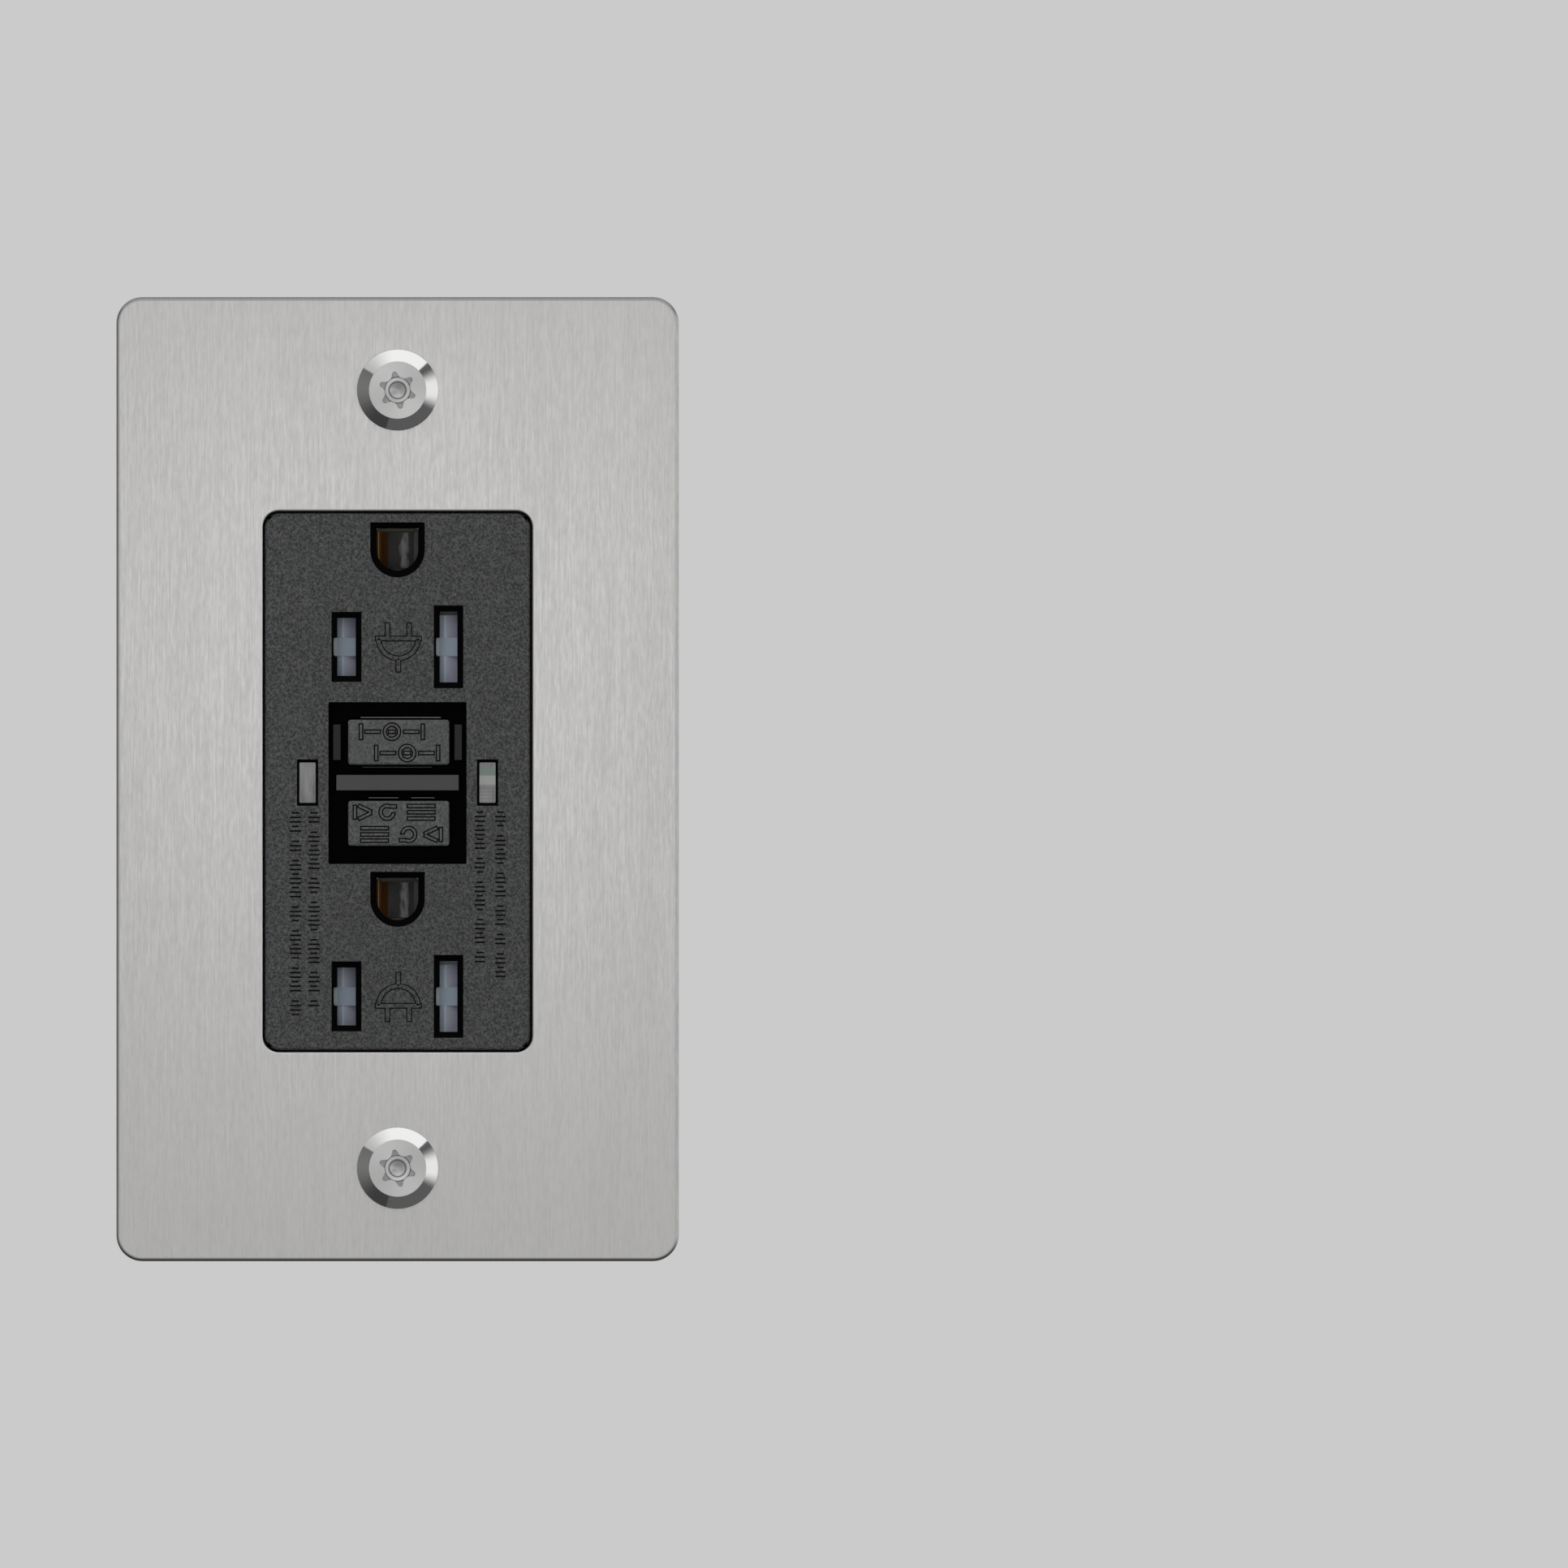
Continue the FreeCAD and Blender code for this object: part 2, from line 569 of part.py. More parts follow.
# ---- Contact frame, bars and terminals --------------------------------------------

def contact_frame():
    """The insulating middle frame that holds the contact bars."""
    body = block((-12.4, 12.4), (FRAME_FRONT, FRAME_BACK), (-33.4, 33.4))
    shelf = block((-19.4, 19.4), (FRAME_FRONT, 2.2), (-13.0, 13.0))
    body = fused(body, shelf)
    for s in (-1, 1):
        body = body.cut(block(sided(s, 4.8, 10.0), (0, FRAME_FLOOR), (-31.0, 20.6)))
        body = body.cut(cyl_y(s * PAD_X, PAD_Z, 1.9, 0, 13))
        body = body.cut(block(sided(s, 10.4, 12.45), (0, 13), (PIPE_Z - 2.8, PIPE_Z + 2.8)))
        body = body.cut(block(sided(s, 9.5, 12.5), (0, FRAME_FLOOR), (-17.3, -15.2)))
    for _, drop in OUTLETS:
        z = UPPER_GROUND_Z + drop
        body = body.cut(block((-3.0, 3.0), (0, 9.2), (z - 2.7, z + 2.7)))
        body = body.cut(block((-7.4, 7.4), (0, 1.3), (z - 2.7, z + 2.7)))
    body = body.cut(cyl_y(BUTTON_X, TEST_Z, 1.6, 0, 13))
    body = body.cut(cyl_y(BUTTON_X, TEST_Z, 2.5, 0, BUTTON_SEAT + 5.05))
    body = body.cut(cyl_y(BUTTON_X, RESET_Z, 1.4, 0, 13))
    body = body.cut(cyl_y(BUTTON_X, RESET_Z, 3.0, 0, BUTTON_SEAT + 8.05))
    return body


def blade_clip(side, z):
    """A U-shaped clip: two leaves on a base, open towards the face."""
    leaves = [
        block(sided(side, 5.0, 5.5), (1.2, 9.6), (z - 3.0, z + 3.0)),
        block(sided(side, 7.2, 7.7), (1.2, 9.6), (z - 3.0, z + 3.0)),
        block(sided(side, 5.0, 7.7), (8.8, 9.6), (z - 3.0, z + 3.0)),
    ]
    return fused(*leaves)


def terminal_plate(side, z0, z1, screw_z):
    plate = block(sided(side, PLATE_IN, PLATE_OUT), (3.0, 14.5), (z0, z1))
    return plate.cut(cyl_x(TERMINAL_Y, screw_z, TERMINAL_SCREW_R + 0.2, sided(side, 16, 20)))


def contact_bar(side):
    """One stamping: both blade clips, the fixed contact and the load terminal."""
    strip = block(sided(side, STRIP_IN, STRIP_OUT), (8.8, 9.6), (-30.1, 19.5))
    pad = cyl_y(side * PAD_X, PAD_Z, 1.3, 9.6, 11.2)
    branch = block(sided(side, STRIP_OUT, PLATE_OUT), (8.8, 9.6), (-17.0, -15.5))
    clips = [blade_clip(side, UPPER_BLADE_Z + drop) for _, drop in OUTLETS]
    return fused(strip, pad, branch, terminal_plate(side, -27.0, -15.5, LOAD_Z), *clips)


def line_terminal(side):
    """The supply terminal: its lead runs behind and through the sensing rings."""
    z = (LEAD_Z0, LEAD_Z1)
    plate = terminal_plate(side, LEAD_Z0, 27.0, LINE_Z)
    drop_leg = block(sided(side, PLATE_IN, PLATE_OUT), (14.5, 22.8), z)
    back = block(sided(side, 1.2, PLATE_OUT), (22.2, 22.8), z)
    post = block(sided(side, 1.2, 1.8), (12.75, 22.8), z)
    front = block(sided(side, 1.2, STRIP_OUT), (12.75, 13.3), z)
    return fused(plate, drop_leg, back, post, front)


def terminal_screw(side, z):
    head = cyl_x(TERMINAL_Y, z, 3.4, sided(side, PLATE_OUT + 0.1, 20.6))
    shank = cyl_x(TERMINAL_Y, z, TERMINAL_SCREW_R, sided(side, 12.9, PLATE_OUT + 0.1))
    screw = fused(head, shank)
    slot = block(sided(side, 19.7, 21.0), (TERMINAL_Y - 0.5, TERMINAL_Y + 0.5), (z - 3.6, z + 3.6))
    cross = block(sided(side, 19.7, 21.0), (TERMINAL_Y - 2.0, TERMINAL_Y + 2.0), (z - 0.5, z + 0.5))
    return cut(screw, slot, cross)


def clamp_plate(side, z):
    """A square plate threaded on the terminal screw, grooved to grip a wire."""
    plate = block(sided(side, CLAMP_IN, CLAMP_OUT), (4.2, 12.8), (z - 4.5, z + 4.5))
    plate = plate.cut(cyl_x(TERMINAL_Y, z, TERMINAL_SCREW_R + 0.05, sided(side, 13, 17)))
    for step in (-WIRE_STEP, WIRE_STEP):
        plate = plate.cut(Part.makeCylinder(0.5, 10, V(side * (CLAMP_OUT + 0.2), 3.5, z + step), V(0, 1, 0)))
    return plate


# ---- Trip mechanism ------------------------------------------------------------------

def contact_arm(side):
    """A moving contact: a leaf from the line lead to a button over the fixed pad."""
    strip = sided(side, STRIP_IN, STRIP_OUT)
    leaf = block(strip, (ARM_FRONT, ARM_BACK), (ARM_END, ARM_ROOT))
    knuckle = cyl_x((ARM_FRONT + ARM_BACK) / 2, ARM_ROOT, (ARM_BACK - ARM_FRONT) / 2, strip)
    return fused(leaf, knuckle, cyl_y(side * PAD_X, PAD_Z, 1.2, 11.3, ARM_FRONT))


def latch_block():
    """The carriage that pushes both contact arms and holds the latch plate."""
    core = block((-5.5, 5.5), (13.2, 20.0), (-10.0, -0.5))
    wings = [block(sided(s, 5.5, 9.9), (12.65, 14.6), (-9.0, -3.0)) for s in (-1, 1)]
    body = fused(core, *wings)
    body = body.cut(block((-3.6, 3.6), (LATCH_Y0 - 0.1, LATCH_Y1 + 0.1), (-11, 0)))
    body = body.cut(cyl_y(BUTTON_X, RESET_Z, 1.4, 12, 21))
    body = body.cut(block((-1.3, 1.3), (13, 21), (-11.0, -8.5)))
    for s in (-1, 1):
        body = body.cut(cyl_y(s * 4.2, -2.8, 1.15, 12, 16.1))
    return body


def latch_plate():
    """A sliding plate whose upper hole edge hooks behind the rod's neck."""
    plate = block((-3.4, 3.4), (LATCH_Y0, LATCH_Y1), (-10.6, 0.4))
    return plate.cut(block((BUTTON_X - 1.45, BUTTON_X + 1.45), (16, 18), (RESET_Z - 2.6, RESET_Z + 0.9)))


def trip_springs():
    springs = []
    for s in (-1, 1):
        springs.append(spring_tube(V(s * 4.2, FRAME_BACK + 0.02, -2.8), V(0, 1, 0), 4.55, 1.05, 0.7))
    return Part.makeCompound(springs)


def test_contact_blade():
    """The leaf that the test button's stem bends to close the test circuit."""
    tongue = block((BUTTON_X - 2.0, BUTTON_X + 2.0), (13.2, 13.55), (3.0, 6.2))
    leg = block((BUTTON_X - 2.0, BUTTON_X + 2.0), (13.2, BOARD_FRONT), (5.8, 6.2))
    return fused(tongue, leg)


def solenoid_bobbin():
    core = cyl_z(0, PLUNGER_Y, 2.7, -26.0, -13.0)
    flanges = [cyl_z(0, PLUNGER_Y, 4.9, -26.0, -25.2), cyl_z(0, PLUNGER_Y, 4.9, -13.8, -13.0)]
    return fused(core, *flanges).cut(cyl_z(0, PLUNGER_Y, 2.15, -27, -12))


def solenoid_coil():
    winding = cyl_z(0, PLUNGER_Y, 4.6, -25.2, -13.8)
    return winding.cut(cyl_z(0, PLUNGER_Y, 2.7, -26, -13))


def solenoid_frame():
    """A U-shaped iron yoke round the coil."""
    back = block((-4.0, 4.0), (22.1, 22.9), (-27.0, -12.1))
    top = block((-4.0, 4.0), (12.6, 22.9), (-12.9, -12.1))
    bottom = block((-4.0, 4.0), (12.6, 22.9), (-27.0, -26.1))
    yoke = fused(back, top, bottom)
    yoke = yoke.cut(cyl_z(0, PLUNGER_Y, 1.2, -13.5, -11.5))
    return yoke.cut(cyl_z(0, PLUNGER_Y, 1.3, -28, -25.5))


def solenoid_plunger():
    body = cyl_z(0, PLUNGER_Y, 2.05, -25.5, -14.5)
    nose = cyl_z(0, PLUNGER_Y, 0.95, -14.5, -10.7)
    tail = cyl_z(0, PLUNGER_Y, 1.0, -31.0, -25.5)
    collar = cyl_z(0, PLUNGER_Y, 1.9, -31.0, -30.3)
    return fused(body, nose, tail, collar)


def plunger_spring():
    return spring_tube(V(0, PLUNGER_Y, -30.28), V(0, 0, 1), 3.25, 1.7, 1.15)


# ---- Sensing rings, board and its parts ---------------------------------------------

def toroid_cores():
    rings = []
    for y0 in (14.7, 18.0):
        ring = cyl_y(0, TOROID_Z, 8.2, y0, y0 + 2.9)
        rings.append(ring.cut(cyl_y(0, TOROID_Z, 4.4, y0 - 1, y0 + 4)))
    return Part.makeCompound(rings)


def toroid_housing():
    """A round tub, open at the back, that keeps both rings apart from the leads."""
    tub = cyl_y(0, TOROID_Z, 9.3, 13.8, 21.9)
    tub = tub.cut(cyl_y(0, TOROID_Z, 8.3, 14.6, 22.5))
    sleeve = cyl_y(0, TOROID_Z, 4.3, 13.8, 21.9)
    shelf = cyl_y(0, TOROID_Z, 8.3, 17.65, 17.95).cut(cyl_y(0, TOROID_Z, 4.2, 17, 19))
    return fused(tub, sleeve, shelf).cut(cyl_y(0, TOROID_Z, 3.2, 13, 23))


def circuit_board():
    board = slab(27.0, 62.0, 1.0, BOARD_FRONT, BOARD_BACK)
    for x in (-12.0, 12.0):
        for z in (-28.5, 28.5):
            board = board.cut(cyl_y(x, z, 0.9, BOARD_FRONT - 1, BOARD_BACK + 1))
    return board


def status_leds():
    lamps = []
    for s in (-1, 1):
        body = cyl_y(s * 11.4, PIPE_Z, 1.2, 17.0, BOARD_FRONT)
        lamps.append(fused(softened(body, 17.0, 0.6), cyl_y(s * 11.4, PIPE_Z, 1.45, 21.8, BOARD_FRONT)))
    return Part.makeCompound(lamps)


def varistor():
    disc = Part.makeCylinder(3.9, 2.8, V(7.0, 18.4, 27.2), V(0, 0, 1))
    disc = disc.makeFillet(0.7, [e for e in disc.Edges if len(e.Vertexes) == 1])
    legs = [cyl_y(7.0 + dx, 28.6, 0.4, 18.4, BOARD_FRONT) for dx in (-2.5, 2.5)]
    return fused(disc, *legs)


def board_capacitors():
    cans = []
    for x in (-9.0, -3.6):
        can = cyl_y(x, 28.5, 2.3, 14.5, BOARD_FRONT - 0.3)
        cans.append(fused(softened(can, 14.5, 0.4), cyl_y(x, 28.5, 1.4, 20.0, BOARD_FRONT)))
    return Part.makeCompound(cans)


def control_chip():
    body = slab(6.4, 5.0, 0.3, BOARD_BACK + 0.1, BOARD_BACK + 1.7, 0, 2.0)
    pins = []
    for s in (-1, 1):
        for i in range(4):
            z = 2.0 + (i - 1.5) * 1.2
            pins.append(block(sided(s, 3.0, 4.4), (BOARD_BACK, BOARD_BACK + 0.5), (z - 0.2, z + 0.2)))
    return fused(body, *pins)


def thyristor():
    """The switch that fires the solenoid: a small half-round package."""
    body = cyl_y(9.2, -18.0, 2.2, 17.5, BOARD_FRONT - 1.0)
    body = body.cut(block((6.0, 12.5), (17, 24), (-21.0, -19.4)))
    legs = [cyl_y(9.2 + dx, -18.0, 0.3, 20.0, BOARD_FRONT) for dx in (-1.27, 0.0, 1.27)]
    return fused(body, *legs)


# ---- Rear housing -------------------------------------------------------------------

def rear_housing():
    """The deep box, with side windows for the screws and round wire holes."""
    box = slab(HOUSING_W, HOUSING_H, 1.5, WALL, HOUSING_BACK)
    outer_back = front_edges(box, HOUSING_BACK)
    box = box.makeFillet(0.8, outer_back)
    inner_w, inner_h = HOUSING_W - 2 * HOUSING_WALL, HOUSING_H - 2 * HOUSING_WALL
    box = box.cut(slab(inner_w, inner_h, 0.8, WALL - 1, HOUSING_FLOOR))
    posts = []
    for x in (-SCREW_X, SCREW_X):
        for z in (-SCREW_Z, SCREW_Z):
            posts.append(cyl_y(x, z, 2.6, 4.1, HOUSING_FLOOR + 0.5))
    for x in (-12.0, 12.0):
        for z in (-28.5, 28.5):
            posts.append(cyl_y(x, z, 1.6, BOARD_BACK, HOUSING_FLOOR + 0.5))
            posts.append(cyl_y(x, z, 0.85, BOARD_FRONT, BOARD_BACK))
    box = fused(box, *posts)
    for x in (-SCREW_X, SCREW_X):
        for z in (-SCREW_Z, SCREW_Z):
            box = cut(
                box,
                cyl_y(x, z, 2.3, -1, 4.1),
                cyl_y(x, z, 1.35, -1, 30),
                cyl_y(x, z, 2.0, HOUSING_FLOOR - 0.2, 30),
            )
    for side in (HOT, NEUTRAL):
        for z in (LINE_Z, LOAD_Z):
            box = box.cut(block(sided(side, 18.9, 23), (2.6, 14.4), (z - 5.6, z + 5.6)))
            for step in (-WIRE_STEP, WIRE_STEP):
                box = box.cut(cyl_y(side * WIRE_X, z + step, WIRE_R, HOUSING_FLOOR - 1, 30))
    return box.cut(cyl_z(TAB_X, TAB_Y, 2.6, -36, -33))


def housing_screws():
    screws = []
    for x in (-SCREW_X, SCREW_X):
        for z in (-SCREW_Z, SCREW_Z):
            head = cyl_y(x, z, 1.9, HOUSING_FLOOR - 0.2, HOUSING_FLOOR + 1.2)
            shank = cyl_y(x, z, 1.24, -2.4, HOUSING_FLOOR - 0.2)
            screw = fused(head, shank)
            slot = block((x - 1.3, x + 1.3), (HOUSING_FLOOR + 0.4, 30), (z - 0.3, z + 0.3))
            cross = block((x - 0.3, x + 0.3), (HOUSING_FLOOR + 0.4, 30), (z - 1.3, z + 1.3))
            screws.append(cut(screw, slot, cross))
    return Part.makeCompound(screws)


def all_parts():
    """Every node's name and shape."""
    parts = {
        "wall_plate": wall_plate(),
        "wall_plate_screws": wall_plate_screws(),
        "plate_backing_frame": plate_backing_frame(),
        "mounting_strap": mounting_strap(),
        "box_screws": box_screws(),
        "screw_retainers": screw_retainers(),
        "ground_rivets": ground_rivets(),
        "ground_screw": ground_screw(),
        "ground_clamp": ground_clamp(),
        "face_cover": face_cover(),
        "button_guide": button_guide(),
        "test_button": test_button(),
        "reset_button": reset_button(),
        "test_spring": test_spring(),
        "reset_spring": reset_spring(),
        "reset_rod": reset_rod(),
        "left_light_pipe": light_pipe(-1),
        "right_light_pipe": light_pipe(1),
        "contact_frame": contact_frame(),
        "latch_block": latch_block(),
        "latch_plate": latch_plate(),
        "trip_springs": trip_springs(),
        "test_contact_blade": test_contact_blade(),
        "solenoid_bobbin": solenoid_bobbin(),
        "solenoid_coil": solenoid_coil(),
        "solenoid_frame": solenoid_frame(),
        "solenoid_plunger": solenoid_plunger(),
        "plunger_spring": plunger_spring(),
        "toroid_cores": toroid_cores(),
        "toroid_housing": toroid_housing(),
        "circuit_board": circuit_board(),
        "status_leds": status_leds(),
        "varistor": varistor(),
        "board_capacitors": board_capacitors(),
        "control_chip": control_chip(),
        "thyristor": thyristor(),
        "rear_housing": rear_housing(),
        "housing_screws": housing_screws(),
    }
    for level, drop in OUTLETS:
        parts[level + "_ground_contact"] = ground_contact(drop)
        parts[level + "_shutter"] = shutter(drop)
        parts[level + "_shutter_guide"] = shutter_guide(drop)
        parts[level + "_shutter_spring"] = shutter_spring(drop)
    for pole, side in SIDES:
        parts[pole + "_contact_bar"] = contact_bar(side)
        parts[pole + "_contact_arm"] = contact_arm(side)
        parts["line_" + pole + "_terminal"] = line_terminal(side)
        for end, z in (("line", LINE_Z), ("load", LOAD_Z)):
            parts[end + "_" + pole + "_screw"] = terminal_screw(side, z)
            parts[end + "_" + pole + "_clamp"] = clamp_plate(side, z)
    return parts


def main():
    os.makedirs("parts", exist_ok=True)
    for name, shape in all_parts().items():
        shape.exportStep("parts/" + name + ".step")
        print(name, "valid" if shape.isValid() else "INVALID", "solids", len(shape.Solids),
              "volume", round(shape.Volume, 2))


main()
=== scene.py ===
"""Looks of the duplex wall outlet: finishes, raised signs, coil springs and the studio."""

import json
import logging
import math
from dataclasses import dataclass
from enum import Enum
from typing import Any, Callable, Optional, Sequence, Union

import bpy
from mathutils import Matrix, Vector

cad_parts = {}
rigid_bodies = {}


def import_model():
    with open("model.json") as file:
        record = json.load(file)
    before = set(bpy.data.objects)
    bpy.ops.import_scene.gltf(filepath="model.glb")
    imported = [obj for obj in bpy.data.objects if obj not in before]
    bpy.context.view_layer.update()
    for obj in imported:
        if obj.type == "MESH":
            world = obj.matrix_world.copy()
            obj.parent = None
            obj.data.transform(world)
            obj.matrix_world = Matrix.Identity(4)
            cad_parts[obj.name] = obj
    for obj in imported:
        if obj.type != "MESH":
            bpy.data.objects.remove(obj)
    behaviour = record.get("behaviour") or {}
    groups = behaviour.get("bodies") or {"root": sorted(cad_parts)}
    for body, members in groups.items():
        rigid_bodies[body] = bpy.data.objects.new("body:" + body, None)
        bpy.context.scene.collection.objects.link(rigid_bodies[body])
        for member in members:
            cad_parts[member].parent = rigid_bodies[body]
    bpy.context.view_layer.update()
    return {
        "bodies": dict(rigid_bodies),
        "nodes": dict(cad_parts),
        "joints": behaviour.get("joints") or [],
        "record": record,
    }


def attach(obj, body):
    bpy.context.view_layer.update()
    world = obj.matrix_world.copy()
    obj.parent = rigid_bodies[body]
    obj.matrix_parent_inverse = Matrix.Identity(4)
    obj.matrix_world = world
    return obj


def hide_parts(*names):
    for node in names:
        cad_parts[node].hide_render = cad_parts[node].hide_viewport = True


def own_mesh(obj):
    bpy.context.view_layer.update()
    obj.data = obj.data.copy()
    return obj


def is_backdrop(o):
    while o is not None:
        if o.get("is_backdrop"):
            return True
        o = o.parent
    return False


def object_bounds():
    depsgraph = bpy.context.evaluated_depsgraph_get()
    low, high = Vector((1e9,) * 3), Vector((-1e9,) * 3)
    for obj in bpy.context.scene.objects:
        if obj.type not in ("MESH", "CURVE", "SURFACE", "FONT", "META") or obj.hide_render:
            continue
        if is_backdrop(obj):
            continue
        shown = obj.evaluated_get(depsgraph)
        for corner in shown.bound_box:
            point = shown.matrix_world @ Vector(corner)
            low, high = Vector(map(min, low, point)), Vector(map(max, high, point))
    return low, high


LOG = logging.getLogger("outlet")
MM = 0.001
FIXED = "fixed_assembly"

FACE_FRONT = -6.8
TEST_FRONT = -6.95
RESET_FRONT = -6.85

Pair = tuple[float, float]
Triple = tuple[float, float, float]
Colour = Triple
Cells = Union[float, Triple]


def grey(level: float, warmth: float = 0.0) -> Colour:
    """A grey of this linear level, a little warmer or, below zero, a little cooler."""
    return (level * (1 + warmth), level, level * (1 - warmth))


# ---- Shader maths ----


def _operator(operation: str, swapped: bool = False) -> Callable[["Wire", Any], "Wire"]:
    """A method of two values that adds one Math node.

    Args:
        operation: The Math node's operation.
        swapped: Whether the other value comes first, as in a reflected operator.

    Returns:
        The method.
    """

    def method(self: "Wire", other: Any) -> "Wire":
        """The operation on this wire and another value."""
        return self.math(operation, *((other, self) if swapped else (self, other)))

    return method


class Wire:
    """A value socket in a node tree, with Python's operators standing for Math nodes."""

    def __init__(self, surface: "NodeBench", socket: Any) -> None:
        """Wraps an output socket of the node tree that the bench works on."""
        self.surface = surface
        self.socket = socket

    def math(self, operation: str, *values: Any, clamp: bool = False) -> "Wire":
        """One Math node of this operation over the values."""
        node = self.surface.node(
            "ShaderNodeMath",
            {"operation": operation, "use_clamp": clamp},
            dict(enumerate(values)),
        )
        return Wire(self.surface, node.outputs[0])

    __add__ = _operator("ADD")
    __radd__ = _operator("ADD", swapped=True)
    __sub__ = _operator("SUBTRACT")
    __rsub__ = _operator("SUBTRACT", swapped=True)
    __mul__ = _operator("MULTIPLY")
    __rmul__ = _operator("MULTIPLY", swapped=True)
    __truediv__ = _operator("DIVIDE")
    above = _operator("GREATER_THAN")
    below = _operator("LESS_THAN")

    def __abs__(self) -> "Wire":
        """The value without its sign."""
        return self.math("ABSOLUTE", self)

    def wave(self) -> "Wire":
        """The sine of the value in radians, brought between 0 and 1."""
        return self.math("SINE", self) * 0.5 + 0.5

    def root(self) -> "Wire":
        """The square root."""
        return self.math("SQRT", self)

    def angle(self, other: "Wire") -> "Wire":
        """The angle whose tangent is self over other, in radians."""
        return self.math("ARCTAN2", self, other)

    def clamp(self) -> "Wire":
        """The value held between 0 and 1."""
        return self.math("ADD", self, 0.0, clamp=True)

    def ramp(self, low: float, high: float) -> "Wire":
        """A smooth step from 0 at the low value to 1 at the high one."""
        node = self.surface.node(
            "ShaderNodeMapRange",
            {"interpolation_type": "SMOOTHSTEP"},
            {"Value": self, "From Min": low, "From Max": high, "To Min": 0.0, "To Max": 1.0},
        )
        return Wire(self.surface, node.outputs["Result"])

    def band(self, middle: float, inner: float, outer: float) -> "Wire":
        """A stripe: 1 within inner of the middle, falling to 0 at outer from it."""
        return 1 - abs(self - middle).ramp(inner, outer)


class NodeBench:
    """Adds nodes to one node tree."""

    def __init__(self, tree: Any) -> None:
        """Empties the node tree of a material or a world, to start afresh."""
        self.tree = tree
        tree.nodes.clear()

    def node(self, kind: str, settings: dict[str, Any], sockets: dict[Any, Any]) -> Any:
        """Adds any node.

        Args:
            kind: The node's type name.
            settings: Properties, which are set first.
            sockets: Input sockets by name or number, each a number, a colour, a vector or a link.

        Returns:
            The node.
        """
        made = self.tree.nodes.new(kind)
        for name, value in settings.items():
            setattr(made, name, value)
        for name, value in sockets.items():
            self.connect(value, made.inputs[name])
        return made

    def connect(self, value: Any, socket: Any) -> None:
        """Links a wire or a socket to an input, or sets the input's own value."""
        if isinstance(value, Wire):
            value = value.socket
        if isinstance(value, bpy.types.NodeSocket):
            self.tree.links.new(value, socket)
            return
        if isinstance(value, (tuple, list)) and socket.type == "RGBA" and len(value) == 3:
            value = (*value, 1.0)
        socket.default_value = value

    def mix(self, share: Any, first: Any, second: Any) -> Any:
        """The socket of a colour between two others: the first at 0, and the second at 1."""
        return self.node(
            "ShaderNodeMix", {"data_type": "RGBA"}, {0: share, 6: first, 7: second}
        ).outputs[2]

    def layers(self, base: Any, *coats: tuple[Any, Any]) -> Any:
        """A colour under coats, each a share and a colour.

        Args:
            base: The lowest colour or colour socket.
            coats: The coats, from the lowest up.

        Returns:
            The colour socket of them all.
        """
        for share, colour in coats:
            base = self.mix(share, base, colour)
        return base


# A lightless black, painted as shade on what lies deep in an opening.
DEEP_SHADE_COLOUR: Colour = (0.0012, 0.0012, 0.0014)
DEEP_SHADE_ROUGHNESS = 0.75
DEEP_SHADE_SHINE = 0.03


